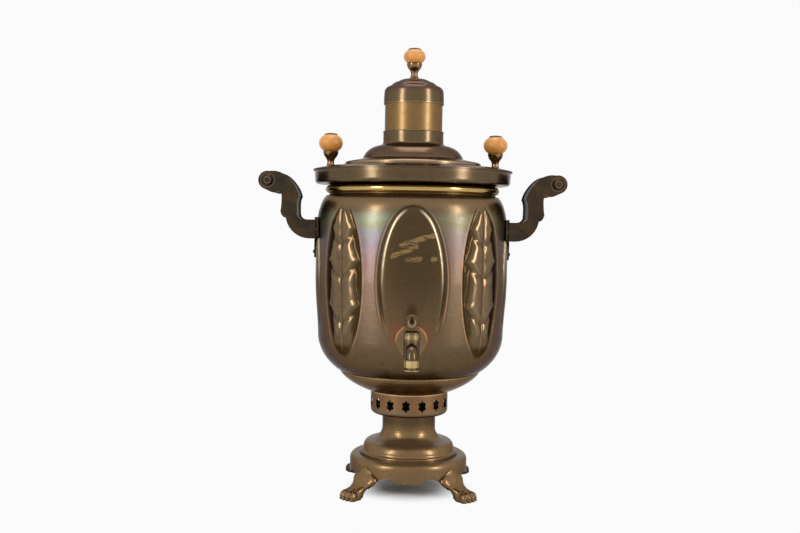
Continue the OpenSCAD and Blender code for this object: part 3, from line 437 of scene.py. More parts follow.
# Rubbed patches on the front oval: angles where each starts and ends, its height at the middle
# of the front, its slope and its width, and the levels that bound them all
SCUFFS = (
    (-9, 14.5, 281, 0.29, 12), (-14, 5, 273.5, 0.37, 11), (-6, 7, 262.5, 0.1, 11),
    (8, 15.5, 263, 0, 11),
)
SCUFF_LEVELS = (252, 256, 296, 300)


def oval_place(angle, high, half, turn):
    """Place in the nearest oval: its angle from the middle, 1 on the oval's edge, and the
    distance from that edge inwards in millimetres. The height counts from -1 to 1."""
    near = (angle + (turn + 360)).math("MODULO", 90) - 45
    share = (near / half).beside(high)
    slope = (near * (1 / (half * half * DEGREE))).beside(high * (2 / PANEL_H))
    return near, share, (1 - share) * share / slope


def engraved_waves(metal):
    """Thin wavy lines that run round the wall, as fine engraving."""
    sway = metal.noise(metal.vector(metal.angle * 0.11, metal.z * 0.03, 3.0), 1.0, 2.0) * 14
    fine = ((metal.z + sway) / 3.1).math("FRACT").line(0.5, 0.26)
    bold = ((metal.z + sway * 1.8) / 11.7).math("FRACT").line(0.5, 0.1)
    return (fine * 0.5 + bold * 0.7).clamped()


def paint_heat(metal, between, patch):
    """Heat colours between the ovals, faint at the front right, and a brown shoulder."""
    angle, z = metal.angle, metal.z
    height = (z - CORNER_TOP) / (SHOULDER_Z - CORNER_TOP) + (patch - 0.5) * 0.16
    heat = metal.add("ValToRGB", {"stops": HEAT_COLOURS}, {0: height})
    film = metal.noise(metal.vector(angle * 0.02, z * 0.5, 0.0), 1.0, 2.0)
    faint = 1 - angle.band(-20, 30, 60, 120) * 0.5
    metal.paint(heat, between * (0.5 + film * 0.4).clamped() * faint)
    metal.paint(BROWN_SHOULDER, z.step(SHOULDER_Z - 20, SHOULDER_Z - 10) * 0.85)


def paint_scuffs(metal, patch):
    """Rubbed patches across the front oval, and a painted reddish reflection on both sides
    of the tap.
    """
    angle, z = metal.angle, metal.z
    tear = metal.noise(metal.vector(angle * 0.16, z * 0.42, 1.0), 1.0, 5.0, 0.75, 0.5)
    scuff = 0
    for start, end, height, slope, width in SCUFFS:
        along = angle.band(start, start + 3, end - 3, end)
        scuff = (z - angle * (slope * 1.9)).line(height, width) * along + scuff
    scuff = (scuff * (1 + (tear - 0.5) * 5)).step(0.4, 1.0) * (1 - abs(angle).step(17, 19))
    scuff = scuff * z.band(*SCUFF_LEVELS)
    metal.paint(SCUFFED, scuff * (0.25 + tear * 0.7))
    # A painted reddish reflection on both sides of the tap
    red_reflection = (1 - abs(abs(angle) - 8.5).step(1, 6)) * (1 - abs(z - 184).step(4, 20))
    metal.paint(PAINTED_RED_REFLECTION, red_reflection * (0.15 + patch.step(0.35, 0.7) * 0.4))
    return scuff


def embossed_brass():
    """The wall: dark ovals, heat colours between them, polished edges, painted highlights on
    ridges and leaves, painted shade in troughs, a painted reddish reflection and engraved waves.
    """
    colour = settings("finish").wall
    metal = OldBrass("embossed_brass", colour, 0.27, grime_depth=1.5, grime_and_shade_amount=0.04)
    angle, z = metal.angle, metal.z
    high = (z - PANEL_MID) / (PANEL_H / 2)
    plain, plain_share, plain_depth = oval_place(angle, high, PLAIN_HALF, 45)
    leaf, leaf_share, leaf_depth = oval_place(angle, high, LEAF_HALF, 0)
    in_plain = 1 - plain_share.step(0.97, 1.0)
    in_leaf = 1 - leaf_share.step(0.95, 1.02)
    between = (1 - in_plain) * (1 - in_leaf)
    between = between * z.band(SEAM_Z + 20, SEAM_Z + 50, SHOULDER_Z - 26, SHOULDER_Z - 12)
    patch = metal.noise(metal.spot, 0.03, 3.0, 0.6, 1.0)
    paint_heat(metal, between, patch)
    metal.paint(DARK_OVAL, in_plain * high.step(-0.7, 0.2) * 0.65)
    gleam = metal.noise(metal.spot, 0.09, 2.0, 0.5)
    metal.paint(GREEN_GLEAM, in_leaf * gleam.step(0.55, 0.75) * 0.3)
    # The ovals' edges are rubbed coppery, and the plain ovals have a painted highlight on a ridge
    # inside a trough of painted shade
    edge = (plain_depth.line(-0.7, 1.8) * high.step(-0.62, -0.4)
            + leaf_depth.line(-0.7, 1.6) * high.step(-0.98, -0.7)) * (1 - high.step(0.72, 0.98))
    metal.paint(RUBBED_EDGE, edge * 0.8)
    ridge = plain_depth.line(5.6, 5) * high.step(-0.25, 0.5) * abs(plain).step(2.5, 7)
    metal.paint(PAINTED_RIDGE_HIGHLIGHT, ridge * 0.85)
    trough_shade = plain_depth.line(2.2, 4.2) * high.step(-0.65, -0.3) * abs(plain).step(2, 5)
    metal.paint(shade(colour, 0.3), trough_shade * 0.8)
    # The leaves' high parts are rubbed bright with a painted highlight, and their hollows are dark
    taper = 1 - ((z - CORNER_TOP) / TAPER_H).clamped()
    rise = metal.radius + taper * (PLAIN_R - CORNER_R) - PLAIN_R
    hollow = (1 - rise.step(-1.2, 0.4)) * (1 - z.step(SHOULDER_Z - 31, SHOULDER_Z - 22))
    metal.paint(RUBBED_LEAF_AND_HIGHLIGHT, in_leaf * rise.step(0.8, 2.0) * 0.55)
    metal.paint(shade(colour, 0.35), in_leaf * hollow * 0.8)
    rib = leaf.line(0, 0.9) * in_leaf * (1 - abs(high).step(0.8, 0.95))
    metal.paint(RUBBED_RIB, rib * 0.7)
    waves = engraved_waves(metal) * (1 - in_leaf) * (1 - abs(high).step(0.9, 1.0))
    metal.paint(shade(colour, 1.8), waves * 0.2)
    scuff = paint_scuffs(metal, patch)
    metal.roughness += in_plain * 0.05 + between * 0.08 + scuff * 0.25 - edge * 0.1
    metal.roughness -= in_leaf * 0.08
    slanting = metal.vector(0.0, 0.0, z * 0.35 - abs(leaf) * 0.8)
    cuts = metal.noise(slanting, 1.6, 1.0) * in_leaf
    metal.normal = metal.bump(waves * -1 + cuts * 0.5, 0.12, 0.5, metal.normal)
    return metal.done(coat_weight=0.3 + in_leaf * (0.12 - hollow * 0.37))


# Levels between which the lid's neck and the cap's side stand upright, the level where the
# cap's crown begins, and the radii and levels of the rims that get a painted highlight
LID_NECK = (386, 392, 408, 412)
CAP_SIDE = (432, 433, 446, 450)
CAP_CROWN = (448.5, 450.5)
FLAT_RIMS, STEP_RIM, CAP_RIM = (57.8, 77.6), 404, 435.3


def lid_brass():
    """The lid and the cap: reddish domes, yellower upright parts and painted rim highlights."""
    metal = OldBrass("lid_brass", settings("finish").lid, 0.25, grime_depth=2, grime_and_shade_amount=0.3)
    z, radius = metal.z, metal.radius
    upright = z.band(*LID_NECK) + z.band(*CAP_SIDE)
    patch = metal.noise(metal.spot, 0.05, 3.0)
    metal.paint(YELLOW_UPRIGHT, upright * (0.4 + patch * 0.6).clamped())
    crown = z.step(*CAP_CROWN)
    metal.paint(RED_CROWN, crown * 0.7)
    # Painted highlights on the rims
    rim = radius.line(FLAT_RIMS[0], 1.6) + radius.line(FLAT_RIMS[1], 1.6)
    rim = rim + z.line(STEP_RIM, 1.6) + z.line(CAP_RIM, 1.2)
    metal.paint(RIM_HIGHLIGHT, rim.clamped() * 0.7)
    metal.roughness += crown * 0.14
    return metal.done()


def base_brass():
    """The pedestal and the drum: yellow brass, painted shade under the air ring, greyer on top."""
    metal = OldBrass("base_brass", settings("finish").base, 0.3, grime_depth=2.5, grime_and_shade_amount=0.4)
    # Painted shade under the air ring
    metal.paint(SHADE_UNDER_RING, metal.z.step(64, 78) * 0.9)
    # Faces that look upwards are greyer and less metallic
    facing = metal.add("NewGeometry", output="Normal")
    upward = metal.add("SeparateXYZ", None, {"Vector": facing}, "Z")
    upward_grey = upward.step(0.5, 1.0) * 0.45
    metal.paint(UPWARD_GREY, upward_grey)
    metal.roughness += upward_grey * 0.3
    return metal.done(metallic=1 - upward_grey)


def ring_copper():
    """The air ring: coppery above, duller below, with a painted highlight on its upper edge."""
    metal = OldBrass("ring_copper", settings("finish").ring, 0.28, stains=1.3, grime_depth=2)
    z = metal.z
    low, high = (corner.z for corner in box_mm("air_ring"))
    patch = metal.noise(metal.vector(metal.angle * 0.05, z * 0.05, 2.0), 1.0, 3.0)
    dull = (1 - (z + (patch - 0.5) * 18).step(low + 2, high - 14)) * 0.8
    metal.paint(DULL_COPPER, dull)
    # A painted highlight on the upper edge
    metal.paint(GOLD_EDGE_HIGHLIGHT, z.line(high - 1, 1.6) * 0.8)
    return metal.done()


def rosette_brass():
    """The plate behind the tap, with a rubbed coppery edge."""
    colour = settings("finish").tap
    metal = OldBrass("rosette_brass", colour, 0.26, turned=False, grime_depth=3)
    low, high = box_mm("tap_rosette")
    middle, half = (low + high) / 2, (high - low) / 2
    share = ((metal.x - middle.x) / half.x).beside((metal.z - middle.z) / half.z)
    metal.paint(COPPER_RIM, share.step(0.93, 0.99) * 0.75)
    return metal.done()


# Levels between which the tap's collar, barrel and shoulder lie, and the key's eye below its top
TAP_COLLAR = (156, 158.5, 163.6, 164)
TAP_BARREL = (164, 165, 179, 183)
TAP_SHOULDER = (182.5, 184, 187, 189)
EYE_DROP = 9.2


def tap_brass():
    """The tap: darker on its barrel, polished with painted highlights on its shoulder, collar and
    lip, and darker on its key's bow, with a painted highlight round the bow's eye."""
    colour = settings("finish").tap
    metal = OldBrass("tap_brass", colour, 0.2, turned=False, grime_depth=3)
    x, z = metal.x, metal.z
    metal.paint(shade(colour, 0.5), z.band(*TAP_BARREL) * 0.75)
    lip = box_mm("tap_body")[0].z + 0.4
    collar = z.band(*TAP_COLLAR) * (1 - x.line(0, 1.6) * 0.5)
    collar = collar + z.line(lip, 1.4) * (1 - x.line(0, 1.4))
    shoulder = z.band(*TAP_SHOULDER) * 0.6 * (1 - x.line(0, 3) * 0.7)
    # Polish with painted highlights on the collar, lip and shoulder
    polish_and_highlight = (collar * 0.85 + shoulder).clamped()
    metal.paint(POLISH_AND_HIGHLIGHT, polish_and_highlight)
    top = box_mm("tap_key")[1].z
    off = x.beside(z - (top - EYE_DROP))
    bow = z.step(top - 20, top - 17)
    metal.paint(DARK_BOW, bow * off.line(6.1, 2.8) * 0.85)
    # A painted highlight round the key's eye
    metal.paint(EYE_HIGHLIGHT, bow * off.line(3.6, 1.8) * 0.7)
    metal.roughness -= polish_and_highlight * 0.06
    return metal.done()


def handle_brass():
    """The handles: nearly black brass with ochre, green and reddish patches, and turned rings
    round the end buttons as rings of painted highlight and painted shade."""
    colour = settings("finish").handle
    metal = OldBrass("handle_brass", colour, 0.36, turned=False, stains=0.8, grime_depth=2)
    x, z = metal.x, metal.z
    clouds = metal.noise(metal.spot, 0.04, 3.0, 0.6, 1.0)
    other = metal.noise(metal.vector(z, x, metal.y), 0.055, 3.0, 0.6, 1.0)
    metal.paint(OCHRE, clouds.step(0.5, 0.66) * 0.7)
    metal.paint(OLIVE, (1 - clouds).step(0.52, 0.66) * 0.8)
    metal.paint(RUSSET, other.step(0.54, 0.68) * 0.6)
    low, high = box_mm("handle_buttons_right")
    middle = (low + high) / 2
    off = (abs(x) - middle.x).beside(z - middle.z)
    # Painted shade and painted highlights as rings round the end buttons
    metal.paint(RING_SHADE, (off.line(2.2, 1.3) + off.line(5.4, 1.6)) * 0.8)
    metal.paint(RING_HIGHLIGHT, (off.line(3.5, 1.3) + off.line(7.8, 1.5) * 0.5) * 0.8)
    return metal.done(coat_weight=0.15)


def varnished_wood():
    """Turned beech under old varnish, with rings that show on the bulb's sides."""
    sizes = settings("finish")
    wood = Finish("varnished_wood")
    x, y, z = wood.x, wood.y, wood.z
    rings = wood.noise(wood.vector(x * 0.5, y, z * 0.3), 0.22, 2.0, 0.5, 0.8)
    pores = wood.noise(wood.vector(x * 0.6, y * 1.4, z * 0.15), 0.3, 2.0)
    age = wood.noise(wood.spot, 0.12, 3.0)
    tone = wood.mix(sizes.wood, sizes.wood_dark, rings.step(0.4, 0.8) * 0.5)
    tone = wood.mix(tone, shade(sizes.wood_dark, 0.6), pores.step(0.62, 0.8) * 0.12)
    tone = wood.mix(tone, shade(sizes.wood, 1.15), age.step(0.55, 0.75) * 0.4)
    # The creases are darkened with the grime colour: partly grime, partly painted shade
    grime_and_shade = wood.crease(4).step(0.3, 0.95)
    tone = wood.mix(tone, sizes.grime, grime_and_shade * 0.6)
    wood.set(
        base_color=tone, roughness=0.42 + rings * 0.1 + grime_and_shade * 0.2, coat_weight=0.25,
        coat_roughness=0.2, normal=wood.bump(rings * 0.6 + pores * 0.3, 0.05, 0.3),
    )
    return wood.material


def rough_iron():
    """Black cast iron with rust and grey rubbed grains."""
    iron = Finish("rough_iron")
    grain = iron.noise(iron.spot, 0.8, 4.0, 0.7)
    rust = iron.noise(iron.spot, 0.12, 4.0, 0.65)
    tone = iron.mix((0.03, 0.028, 0.027), (0.12, 0.05, 0.022), rust.step(0.5, 0.7) * 0.7)
    tone = iron.mix(tone, (0.2, 0.19, 0.18), grain.step(0.62, 0.75) * 0.3)
    iron.set(
        base_color=tone, metallic=0.6, roughness=0.6 + rust * 0.25,
        normal=iron.bump(grain, 0.2, 0.8),
    )
    return iron.material


def greased_leather():
    """Brown leather with a fine grain."""
    leather = Finish("greased_leather")
    grain = leather.noise(leather.spot, 0.9, 3.0)
    tone = leather.mix((0.1, 0.045, 0.02), (0.2, 0.1, 0.045), grain.step(0.4, 0.7))
    leather.set(
        base_color=tone, roughness=0.5 + grain * 0.2, normal=leather.bump(grain, 0.2, 0.6)
    )
    return leather.material


def dress(material, *nodes):
    """Gives frame nodes a material."""
    for name in nodes:
        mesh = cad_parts[name].data
        mesh.materials.clear()
        mesh.materials.append(material)


def dress_frame():
    """Gives every frame node that stays in sight its material."""
    sizes = settings("finish")
    sides = ("left", "right")
    handle_parts = ("plate", "cheek_front", "cheek_rear", "web", "rod", "buttons", "rivets")
    dress(base_brass(), "pedestal", "base_drum", "ash_floor")
    dress(plain_brass("bowl_brass", shade(sizes.wall, 2.0), grime_depth=2), "body_bowl")
    dress(plain_brass("collar_brass", sizes.collar, 0.24, coat=0.5), "top_collar")
    dress(lid_brass(), "lid_shell", "lid_rim", "cap_shell")
    dress(rosette_brass(), "tap_rosette")
    dress(plain_brass("bead_brass", sizes.bright, 0.17, stains=0.6), "bead_ring")
    dress(plain_brass("tube_brass", shade(sizes.tube, 0.85), 0.36, coat=0.35), "fire_tube")
    dress(ring_copper(), "air_ring")
    dress(
        plain_brass("stem_brass", shade(sizes.base, 1.15), 0.12, stains=0.9, grime_depth=5),
        *(f"lid_knob_{part}_{side}" for part in ("stem", "nut") for side in sides),
        "cap_knob_stem", "cap_knob_nut",
    )
    dress(
        plain_brass("crown_brass", shade(sizes.handle, 1.6), grime_depth=2),
        *(f"lid_knob_bolt_{side}" for side in sides), "cap_knob_bolt",
    )
    dress(handle_brass(), *(f"handle_{part}_{side}" for side in sides for part in handle_parts))
    dress(tap_brass(), "tap_body", "tap_key", "tap_nut", "steam_vent_tube", "steam_vent_cap")
    dress(varnished_wood(), *(f"lid_knob_wood_{side}" for side in sides), "cap_knob_wood")
    dress(rough_iron(), "grate")
    dress(greased_leather(), "tap_washer")


# ---- Meshes ---------------------------------------------------------------------------------


def add_piece(name, mesh, material, replaced):
    """Puts a mesh in the scene as a piece that rides on the body and stands for a frame node."""
    mesh.materials.clear()
    mesh.materials.append(material)
    for polygon in mesh.polygons:
        polygon.use_smooth = True
    piece = bpy.data.objects.new(name, mesh)
    bpy.context.scene.collection.objects.link(piece)
    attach(piece, BODY)
    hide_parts(replaced)


def corner_drop(t, fullness):
    """How far a rounded corner has dropped at t, from 0 where it begins to 1 at its end."""
    full = 1 - math.sqrt(1 - fullness * fullness)
    return (1 - np.sqrt(1 - np.clip(fullness * t, 0, fullness) ** 2)) / full


def wall_radius(z):
    """Radius of the plain wall at heights z."""
    shoulder = SHOULDER_Z - SHOULDER_H
    corner = CORNER_R - (CORNER_R - SEAM_R) * corner_drop((CORNER_TOP - z) / CORNER_H, 0.8)
    taper = CORNER_R + (PLAIN_R - CORNER_R) * np.minimum(1, (z - CORNER_TOP) / TAPER_H)
    top = PLAIN_R - (PLAIN_R - SHOULDER_R) * corner_drop((z - shoulder) / SHOULDER_H, 0.89)
    return np.where(z < CORNER_TOP, corner, np.where(z < CORNER_TOP + TAPER_H, taper, top))


def fade(z, start, end):
    """0 up to the start, 1 from the end, and smooth between them."""
    t = np.clip((z - start) / (end - start), 0, 1)
    return t * t * (3 - 2 * t)


def eased(x, places, heights):
    """Goes smoothly through heights at places."""
    result = np.full(x.shape, float(heights[-1]))
    for a, b, low, high in zip(places[-2::-1], places[:0:-1], heights[-2::-1], heights[:0:-1]):
        result = np.where(x < b, low + (high - low) * fade(x, a, b), result)
    return result


def inset(across, high, half):
    """Distance from an oval's edge inwards, for places as shares of its half sizes."""
    share = np.sqrt(across**2 + high**2)
    slope = np.sqrt((across / (half * DEGREE)) ** 2 + (high / (PANEL_H / 2)) ** 2)
    return (1 - share) * share / np.maximum(slope, 1e-4)


# A plain oval's height from its edge inwards, as shares of the cushion or, below 0, the groove
OVAL_DEPTHS = (-1.6, 0, 1.6, 2.8, 5.6, 9, 22)
OVAL_HEIGHTS = (0, -0.5, -1, -0.9, 0.75, 0.95, 1)

# Levels of the tips of a leaf's lobes, and a lobe's width from its tip up to its root as a
# share of the leaf's width. Then a lobe's mean height, how far its veins rise towards the
# leaf's edge, and half a vein's width
LOBE_TIPS = (163, 208, 257, 291, 338)
LOBE_PLACES = (0, 0.06, 0.22, 0.55, 0.88, 1)
LOBE_WIDTHS = (0.8, 0.94, 0.79, 0.69, 0.71, 0.8)
LOBE_H, VEIN_RISE, VEIN_W = 42, 16, 4

# The leaf oval's border from its edge inwards
RIM_DEPTHS = (-1.5, 0, 2.2)
RIM_HEIGHTS = (0, 0.1, -0.85)

# Heights of the mesh's rows below the panels and on the wall's inside
PLAIN_STEP, INNER_STEP = 2.5, 6


def plain_relief(angle, z, high):
    """Height of the plain ovals over the plain wall."""
    depth = inset((np.mod(angle + 45, 90) - 45) / PLAIN_HALF, high, PLAIN_HALF)
    bulge = eased(depth, OVAL_DEPTHS, OVAL_HEIGHTS)
    cushion = bulge * CUSHION * fade(z, CORNER_TOP + 4, CORNER_TOP + 50)
    cushion = cushion * (1 - fade(high, 0.5, 0.85))
    return np.where(bulge > 0, cushion, bulge * GROOVE * fade(z, CORNER_TOP + 4, CORNER_TOP + 34))


def leaf_relief(angle, z, high):
    """Height of the leaves over the plain wall: lobes on both sides of a rib, with a vein
    between two lobes and a hollow at their edges."""
    side = np.mod(angle, 90) - 45
    off = np.abs(side)
    depth = inset(side / LEAF_HALF, high, LEAF_HALF)
    inner = np.maximum(LEAF_HALF * np.sqrt(np.maximum(0, 0.97 * 0.97 - high * high)), 0.2)
    tips = range(len(LOBE_TIPS))
    along = np.mod(np.interp(z, LOBE_TIPS, tips), 1)
    edge = np.maximum(1.2, inner * eased(along, LOBE_PLACES, LOBE_WIDTHS))
    crest = edge * 0.4
    lobe = 1 - np.where(off < crest, 0.8 * ((crest - off) / crest) ** 2,
                        1.4 * ((off - crest) / (edge - crest)) ** 2)
    vein = np.interp(z + VEIN_RISE * np.clip(1 - off / inner, 0, 1), LOBE_TIPS, tips)
    vein = np.abs(vein - np.round(vein)) * LOBE_H
    inside = np.clip(lobe - 0.5 * np.exp(-(vein / VEIN_W) ** 2), -0.7, 1)
    rim = eased(depth, RIM_DEPTHS, RIM_HEIGHTS)
    leaf = np.where(depth > RIM_DEPTHS[-1], inside, rim)
    ends = fade(z, CORNER_TOP - 10, CORNER_TOP + 14)
    ends = ends * (1 - fade(z, SHOULDER_Z - 18, SHOULDER_Z - 9))
    return np.where(leaf > 0, leaf * LEAF_CUSHION, leaf * GROOVE) * ends


def panelled_wall():
    """The water body's wall as one closed shell, embossed outside and plain inside."""
    sizes = settings("wall")
    angles = np.linspace(-180, 180, sizes.columns, endpoint=False)
    panel_low = PANEL_MID - PANEL_H * 0.55
    heights = np.concatenate([
        np.arange(SEAM_Z, panel_low, PLAIN_STEP),
        np.arange(panel_low, SHOULDER_Z, sizes.row_step / MM),
        [SHOULDER_Z],
    ])
    grid_angle, grid_z = np.meshgrid(angles, heights)
    high = (grid_z - PANEL_MID) / (PANEL_H / 2)
    relief = plain_relief(grid_angle, grid_z, high) + leaf_relief(grid_angle, grid_z, high)
    outside = wall_radius(grid_z) + relief
    # Up the outside, over the neck with a fillet at its foot, and down the inside, which
    # clears the deepest groove
    top = SHOULDER_Z + NECK_H
    plain = [(NECK_R + 0.6, SHOULDER_Z + 0.7), (NECK_R, SHOULDER_Z + 1.6), (NECK_R, top),
             (NECK_R - WALL_SHEET, top), (NECK_R - WALL_SHEET, SHOULDER_Z)]
    for z in np.arange(SHOULDER_Z - 4, SEAM_Z, -INNER_STEP):
        gap = WALL_SHEET + GROOVE * fade(PANEL_H * 0.575 - abs(z - PANEL_MID), 0, 12)
        plain.append((wall_radius(z) - gap, z))
    plain.append((SEAM_R - WALL_SHEET, SEAM_Z))
    rings = list(zip(outside, heights)) + plain
    turn = np.radians(angles)
    points = np.concatenate([
        np.column_stack([r * np.sin(turn), -r * np.cos(turn), np.full(len(turn), z)])
        for r, z in rings
    ]) * MM
    count, across = len(rings), len(angles)
    k, i = np.meshgrid(np.arange(count), np.arange(across), indexing="ij")
    above, beside = (k + 1) % count, (i + 1) % across
    faces = np.stack([k * across + i, k * across + beside, above * across + beside,
                      above * across + i], axis=-1).reshape(-1, 4)
    mesh = bpy.data.meshes.new("panelled_wall")
    mesh.from_pydata(points.tolist(), [], faces.tolist())
    add_piece("panelled_wall", mesh, embossed_brass(), "body_wall")


# ---- Feet -----------------------------------------------------------------------------------

# Level sections of the leg: height, back, front and half the width
LEG_SECTIONS = (
    (0, 77, 92, 9), (2, 76, 94, 10), (5, 74, 94, 10.2), (8, 71, 92.5, 9.8),
    (10, 68, 89.5, 9.6), (12, 65.5, 84, 10.6), (14, 63, 78.5, 12.6), (16.5, 61.5, 75, 15),
    (19, 60, 73, 17), (21.5, 59.5, 71.6, 16.4), (24, 59, 70, 13.8), (26, 59, 68.8, 9.8),
    (28.5, 59, 67.9, 5.8), (30.3, 59, 67.4, 3.2), (31.6, 59, 66.8, 0.8),
)

# How far a claw reaches past its toe's tip, how much farther back each outer toe ends than the
# one beside it, and the degrees by which the toes splay
CLAW_REACH, TOE_STAGGER, TOE_SPLAY = 4.2, 1.6, 6

# A toe's two knuckles and its claw: place from the toe's tip, share of the toe's distance from
# the middle, level, radii and forward tilt
TOE_BALLS = (
    (-2, 1, 4.9, (6.2, 3.05, 5.5), 14), (-7, 0.9, 7.6, (5.6, 2.7, 4), 26),
    (2.2, 1.05, 2.3, (2.9, 1.3, 1.9), 24),
)

# The raised border of the leaf on the knee: x, y, z and radius down one side
KNEE_BORDER = (
    (66.8, 0, 31.4, 0.5), (66.5, 5.2, 28.6, 0.8), (65.8, 11.6, 24.2, 0.9),
    (64.8, 15.8, 19.6, 0.9), (66.5, 14.4, 15.5, 0.8), (70, 11.6, 12, 0.6),
)

# The gap between a leg's back and the drum, and the level from which the back keeps it
SOLDER_GAP, BACK_Z = 0.05, 8

# A screw from its head to its point: radius and level along its axis
SCREW_PROFILE = ((3.2, -4.2), (3.6, -3.6), (3.6, -2.4), (1.6, -2.2), (1.6, 1.6))
SCREW_SIDES = 24


def ball(form, centre, radii, tilt=0, splay=0, rows=12, columns=20):
    """Adds a stretched ball, tilted about Y and then splayed about Z by degrees."""
    matrix = (Matrix.Translation(Vector(centre) * MM)
              @ Matrix.Rotation(math.radians(tilt), 4, "Y")
              @ Matrix.Rotation(math.radians(splay), 4, "Z")
              @ Matrix.Diagonal((*(Vector(radii) * MM), 1)))
    points, faces = form
    start = len(points)
    for i in range(rows + 1):
        a = math.pi * i / rows
        for j in range(columns):
            b = 2 * math.pi * j / columns
            place = (math.sin(a) * math.cos(b), math.sin(a) * math.sin(b), math.cos(a))
            points.append(matrix @ Vector(place))
    for i in range(rows):
        for j in range(columns):
            a, b, k = start + i * columns, start + (i + 1) * columns, (j + 1) % columns
            faces.append((a + j, b + j, b + k, a + k))


def bar(form, points, radii, steps=8):
    """A chain of balls along a path through points."""
    places = [Vector(point) for point in points]
    for a, b, ra, rb in zip(places, places[1:], radii, radii[1:]):
        for i in range(steps):
            t = i / steps
            ball(form, a.lerp(b, t), (ra + (rb - ra) * t,) * 3)


def leg(form, columns=40, finer=4):
    """Adds the leg as a closed skin over its level sections, with a soft ridge at the front."""
    points, faces = form
    sections = np.array(LEG_SECTIONS)
    at = np.linspace(0, len(sections) - 1, (len(sections) - 1) * finer + 1)
    rows = np.column_stack([np.interp(at, range(len(sections)), column) for column in sections.T])
    start = len(points)
    for z, back, front, half in rows:
        middle, depth = (back + front) / 2, (front - back) / 2
        for j in range(columns):
            a = 2 * math.pi * j / columns
            c, s = math.cos(a), math.sin(a)
            x = middle + depth * math.copysign(abs(c) ** 0.8, c)
            y = half * math.copysign(abs(s) ** 0.8, s)
            ridge = 0.9 * max(0, c) * max(0, 1 - abs(y) / 5) * min(1, max(0, (30 - z) / 10))
            points.append(Vector((x + ridge, y, z)) * MM)
    for i in range(len(rows) - 1):
        for j in range(columns):
            a, b, k = start + i * columns, start + (i + 1) * columns, (j + 1) % columns
            faces.append((a + j, a + k, b + k, b + j))
    last = start + (len(rows) - 1) * columns
    faces.append(tuple(reversed(range(start, start + columns))))
    faces.append(tuple(range(last, last + columns)))


def paw_shape():
    """One lion paw on a cabriole leg, pointing along +X, as overlapping rounded forms."""
    sizes = settings("feet")
    reach, gap = sizes.reach / MM, sizes.toe_gap / MM
    form = ([], [])
    leg(form)
    for side in (-1.5, -0.5, 0.5, 1.5):
        tip = reach - CLAW_REACH - abs(side) * TOE_STAGGER
        for ahead, share, level, radii, tilt in TOE_BALLS:
            ball(form, (tip + ahead, side * gap * share, level), radii, tilt, side * TOE_SPLAY)
    heel_spur = (76.5, 0, 3.5)
    ball(form, heel_spur, (4.5, 6.5, 5))
    for s in (-1, 1):
        bar(form, [(x, s * y, z) for x, y, z, r in KNEE_BORDER], [r for x, y, z, r in KNEE_BORDER])
    mesh = bpy.data.meshes.new("paw")
    mesh.from_pydata(form[0], [], form[1])
    return mesh


def cast_paw():
    """The paw's forms run together and softened, as a mesh of its own."""
    rough = bpy.data.objects.new("rough_paw", paw_shape())
    bpy.context.scene.collection.objects.link(rough)
    cast = rough.modifiers.new("cast", "REMESH")
    cast.mode = "VOXEL"
    cast.voxel_size = settings("feet").voxel
    soft = rough.modifiers.new("soften", "SMOOTH")
    soft.factor = 0.5
    soft.iterations = 3
    graph = bpy.context.evaluated_depsgraph_get()
    mesh = bpy.data.meshes.new_from_object(rough.evaluated_get(graph))
    bpy.data.objects.remove(rough)
    return mesh


def trimmed_paw():
    """The cast paw with a flat sole, and with its leg's back lying on the drum."""
    mesh = cast_paw()
    bm = bmesh.new()
    bm.from_mesh(mesh)
    cut = bmesh.ops.bisect_plane(
        bm, geom=bm.verts[:] + bm.edges[:] + bm.faces[:], plane_co=(0, 0, 0),
        plane_no=(0, 0, -1), clear_outer=True,
    )
    rim = [part for part in cut["geom_cut"] if isinstance(part, bmesh.types.BMEdge)]
    bmesh.ops.edgeloop_fill(bm, edges=rim)
    least = (DRUM_R + SOLDER_GAP) * MM
    for vert in bm.verts:
        reach = math.hypot(vert.co.x, vert.co.y)
        if reach < least and vert.co.z > BACK_Z * MM:
            vert.co.x *= least / reach
            vert.co.y *= least / reach
    bm.to_mesh(mesh)
    bm.free()
    return mesh


def paws():
    """The four lion paws, the rear ones darkened as painted shade."""
    master = trimmed_paw()
    base = settings("finish").base
    front = plain_brass("paw_brass", shade(base, 1.1), 0.28, turned=False, grime_depth=3)
    # The rear paws are darkened as painted shade
    rear = plain_brass("paw_brass_rear", shade(base, 0.35), 0.4, turned=False, grime_depth=3)
    for corner, angle in CORNERS.items():
        mesh = master.copy()
        mesh.transform(Matrix.Rotation(math.radians(angle), 4, "Z"))
        add_piece(f"paw_{corner}", mesh, front if "front" in corner else rear, f"foot_{corner}")


def screws():
    """The four screws inside the drum that hold the feet."""
    low, high = box_mm("foot_screws")
    place = Vector((DRUM_R - 2, 0, (low.z + high.z) / 2)) * MM
    around = np.linspace(0, 2 * math.pi, SCREW_SIDES, endpoint=False)
    bm = bmesh.new()
    for angle in CORNERS.values():
        turn = (Matrix.Rotation(math.radians(angle), 4, "Z") @ Matrix.Translation(place)
                @ Matrix.Rotation(math.radians(90), 4, "Y"))
        rings = [[bm.verts.new(turn @ (Vector((r * math.cos(a), r * math.sin(a), h)) * MM))
                  for a in around] for r, h in SCREW_PROFILE]
        for inner, outer in zip(rings, rings[1:]):
            for j in range(SCREW_SIDES):
                k = (j + 1) % SCREW_SIDES
                bm.faces.new((inner[j], inner[k], outer[k], outer[j]))
        bm.faces.new(rings[0][::-1])
        bm.faces.new(rings[-1])
    mesh = bpy.data.meshes.new("screws")
    bm.to_mesh(mesh)
    bm.free()
    add_piece("screws", mesh, rough_iron(), "foot_screws")


# ---- Studio ---------------------------------------------------------------------------------

# The camera's place in metres, its roll, and its view's shift downwards in frame widths
CAMERA_PLACE = (-0.0137, -1.143, 0.301)
CAMERA_ROLL = -0.93
VIEW_SHIFT = -0.0556

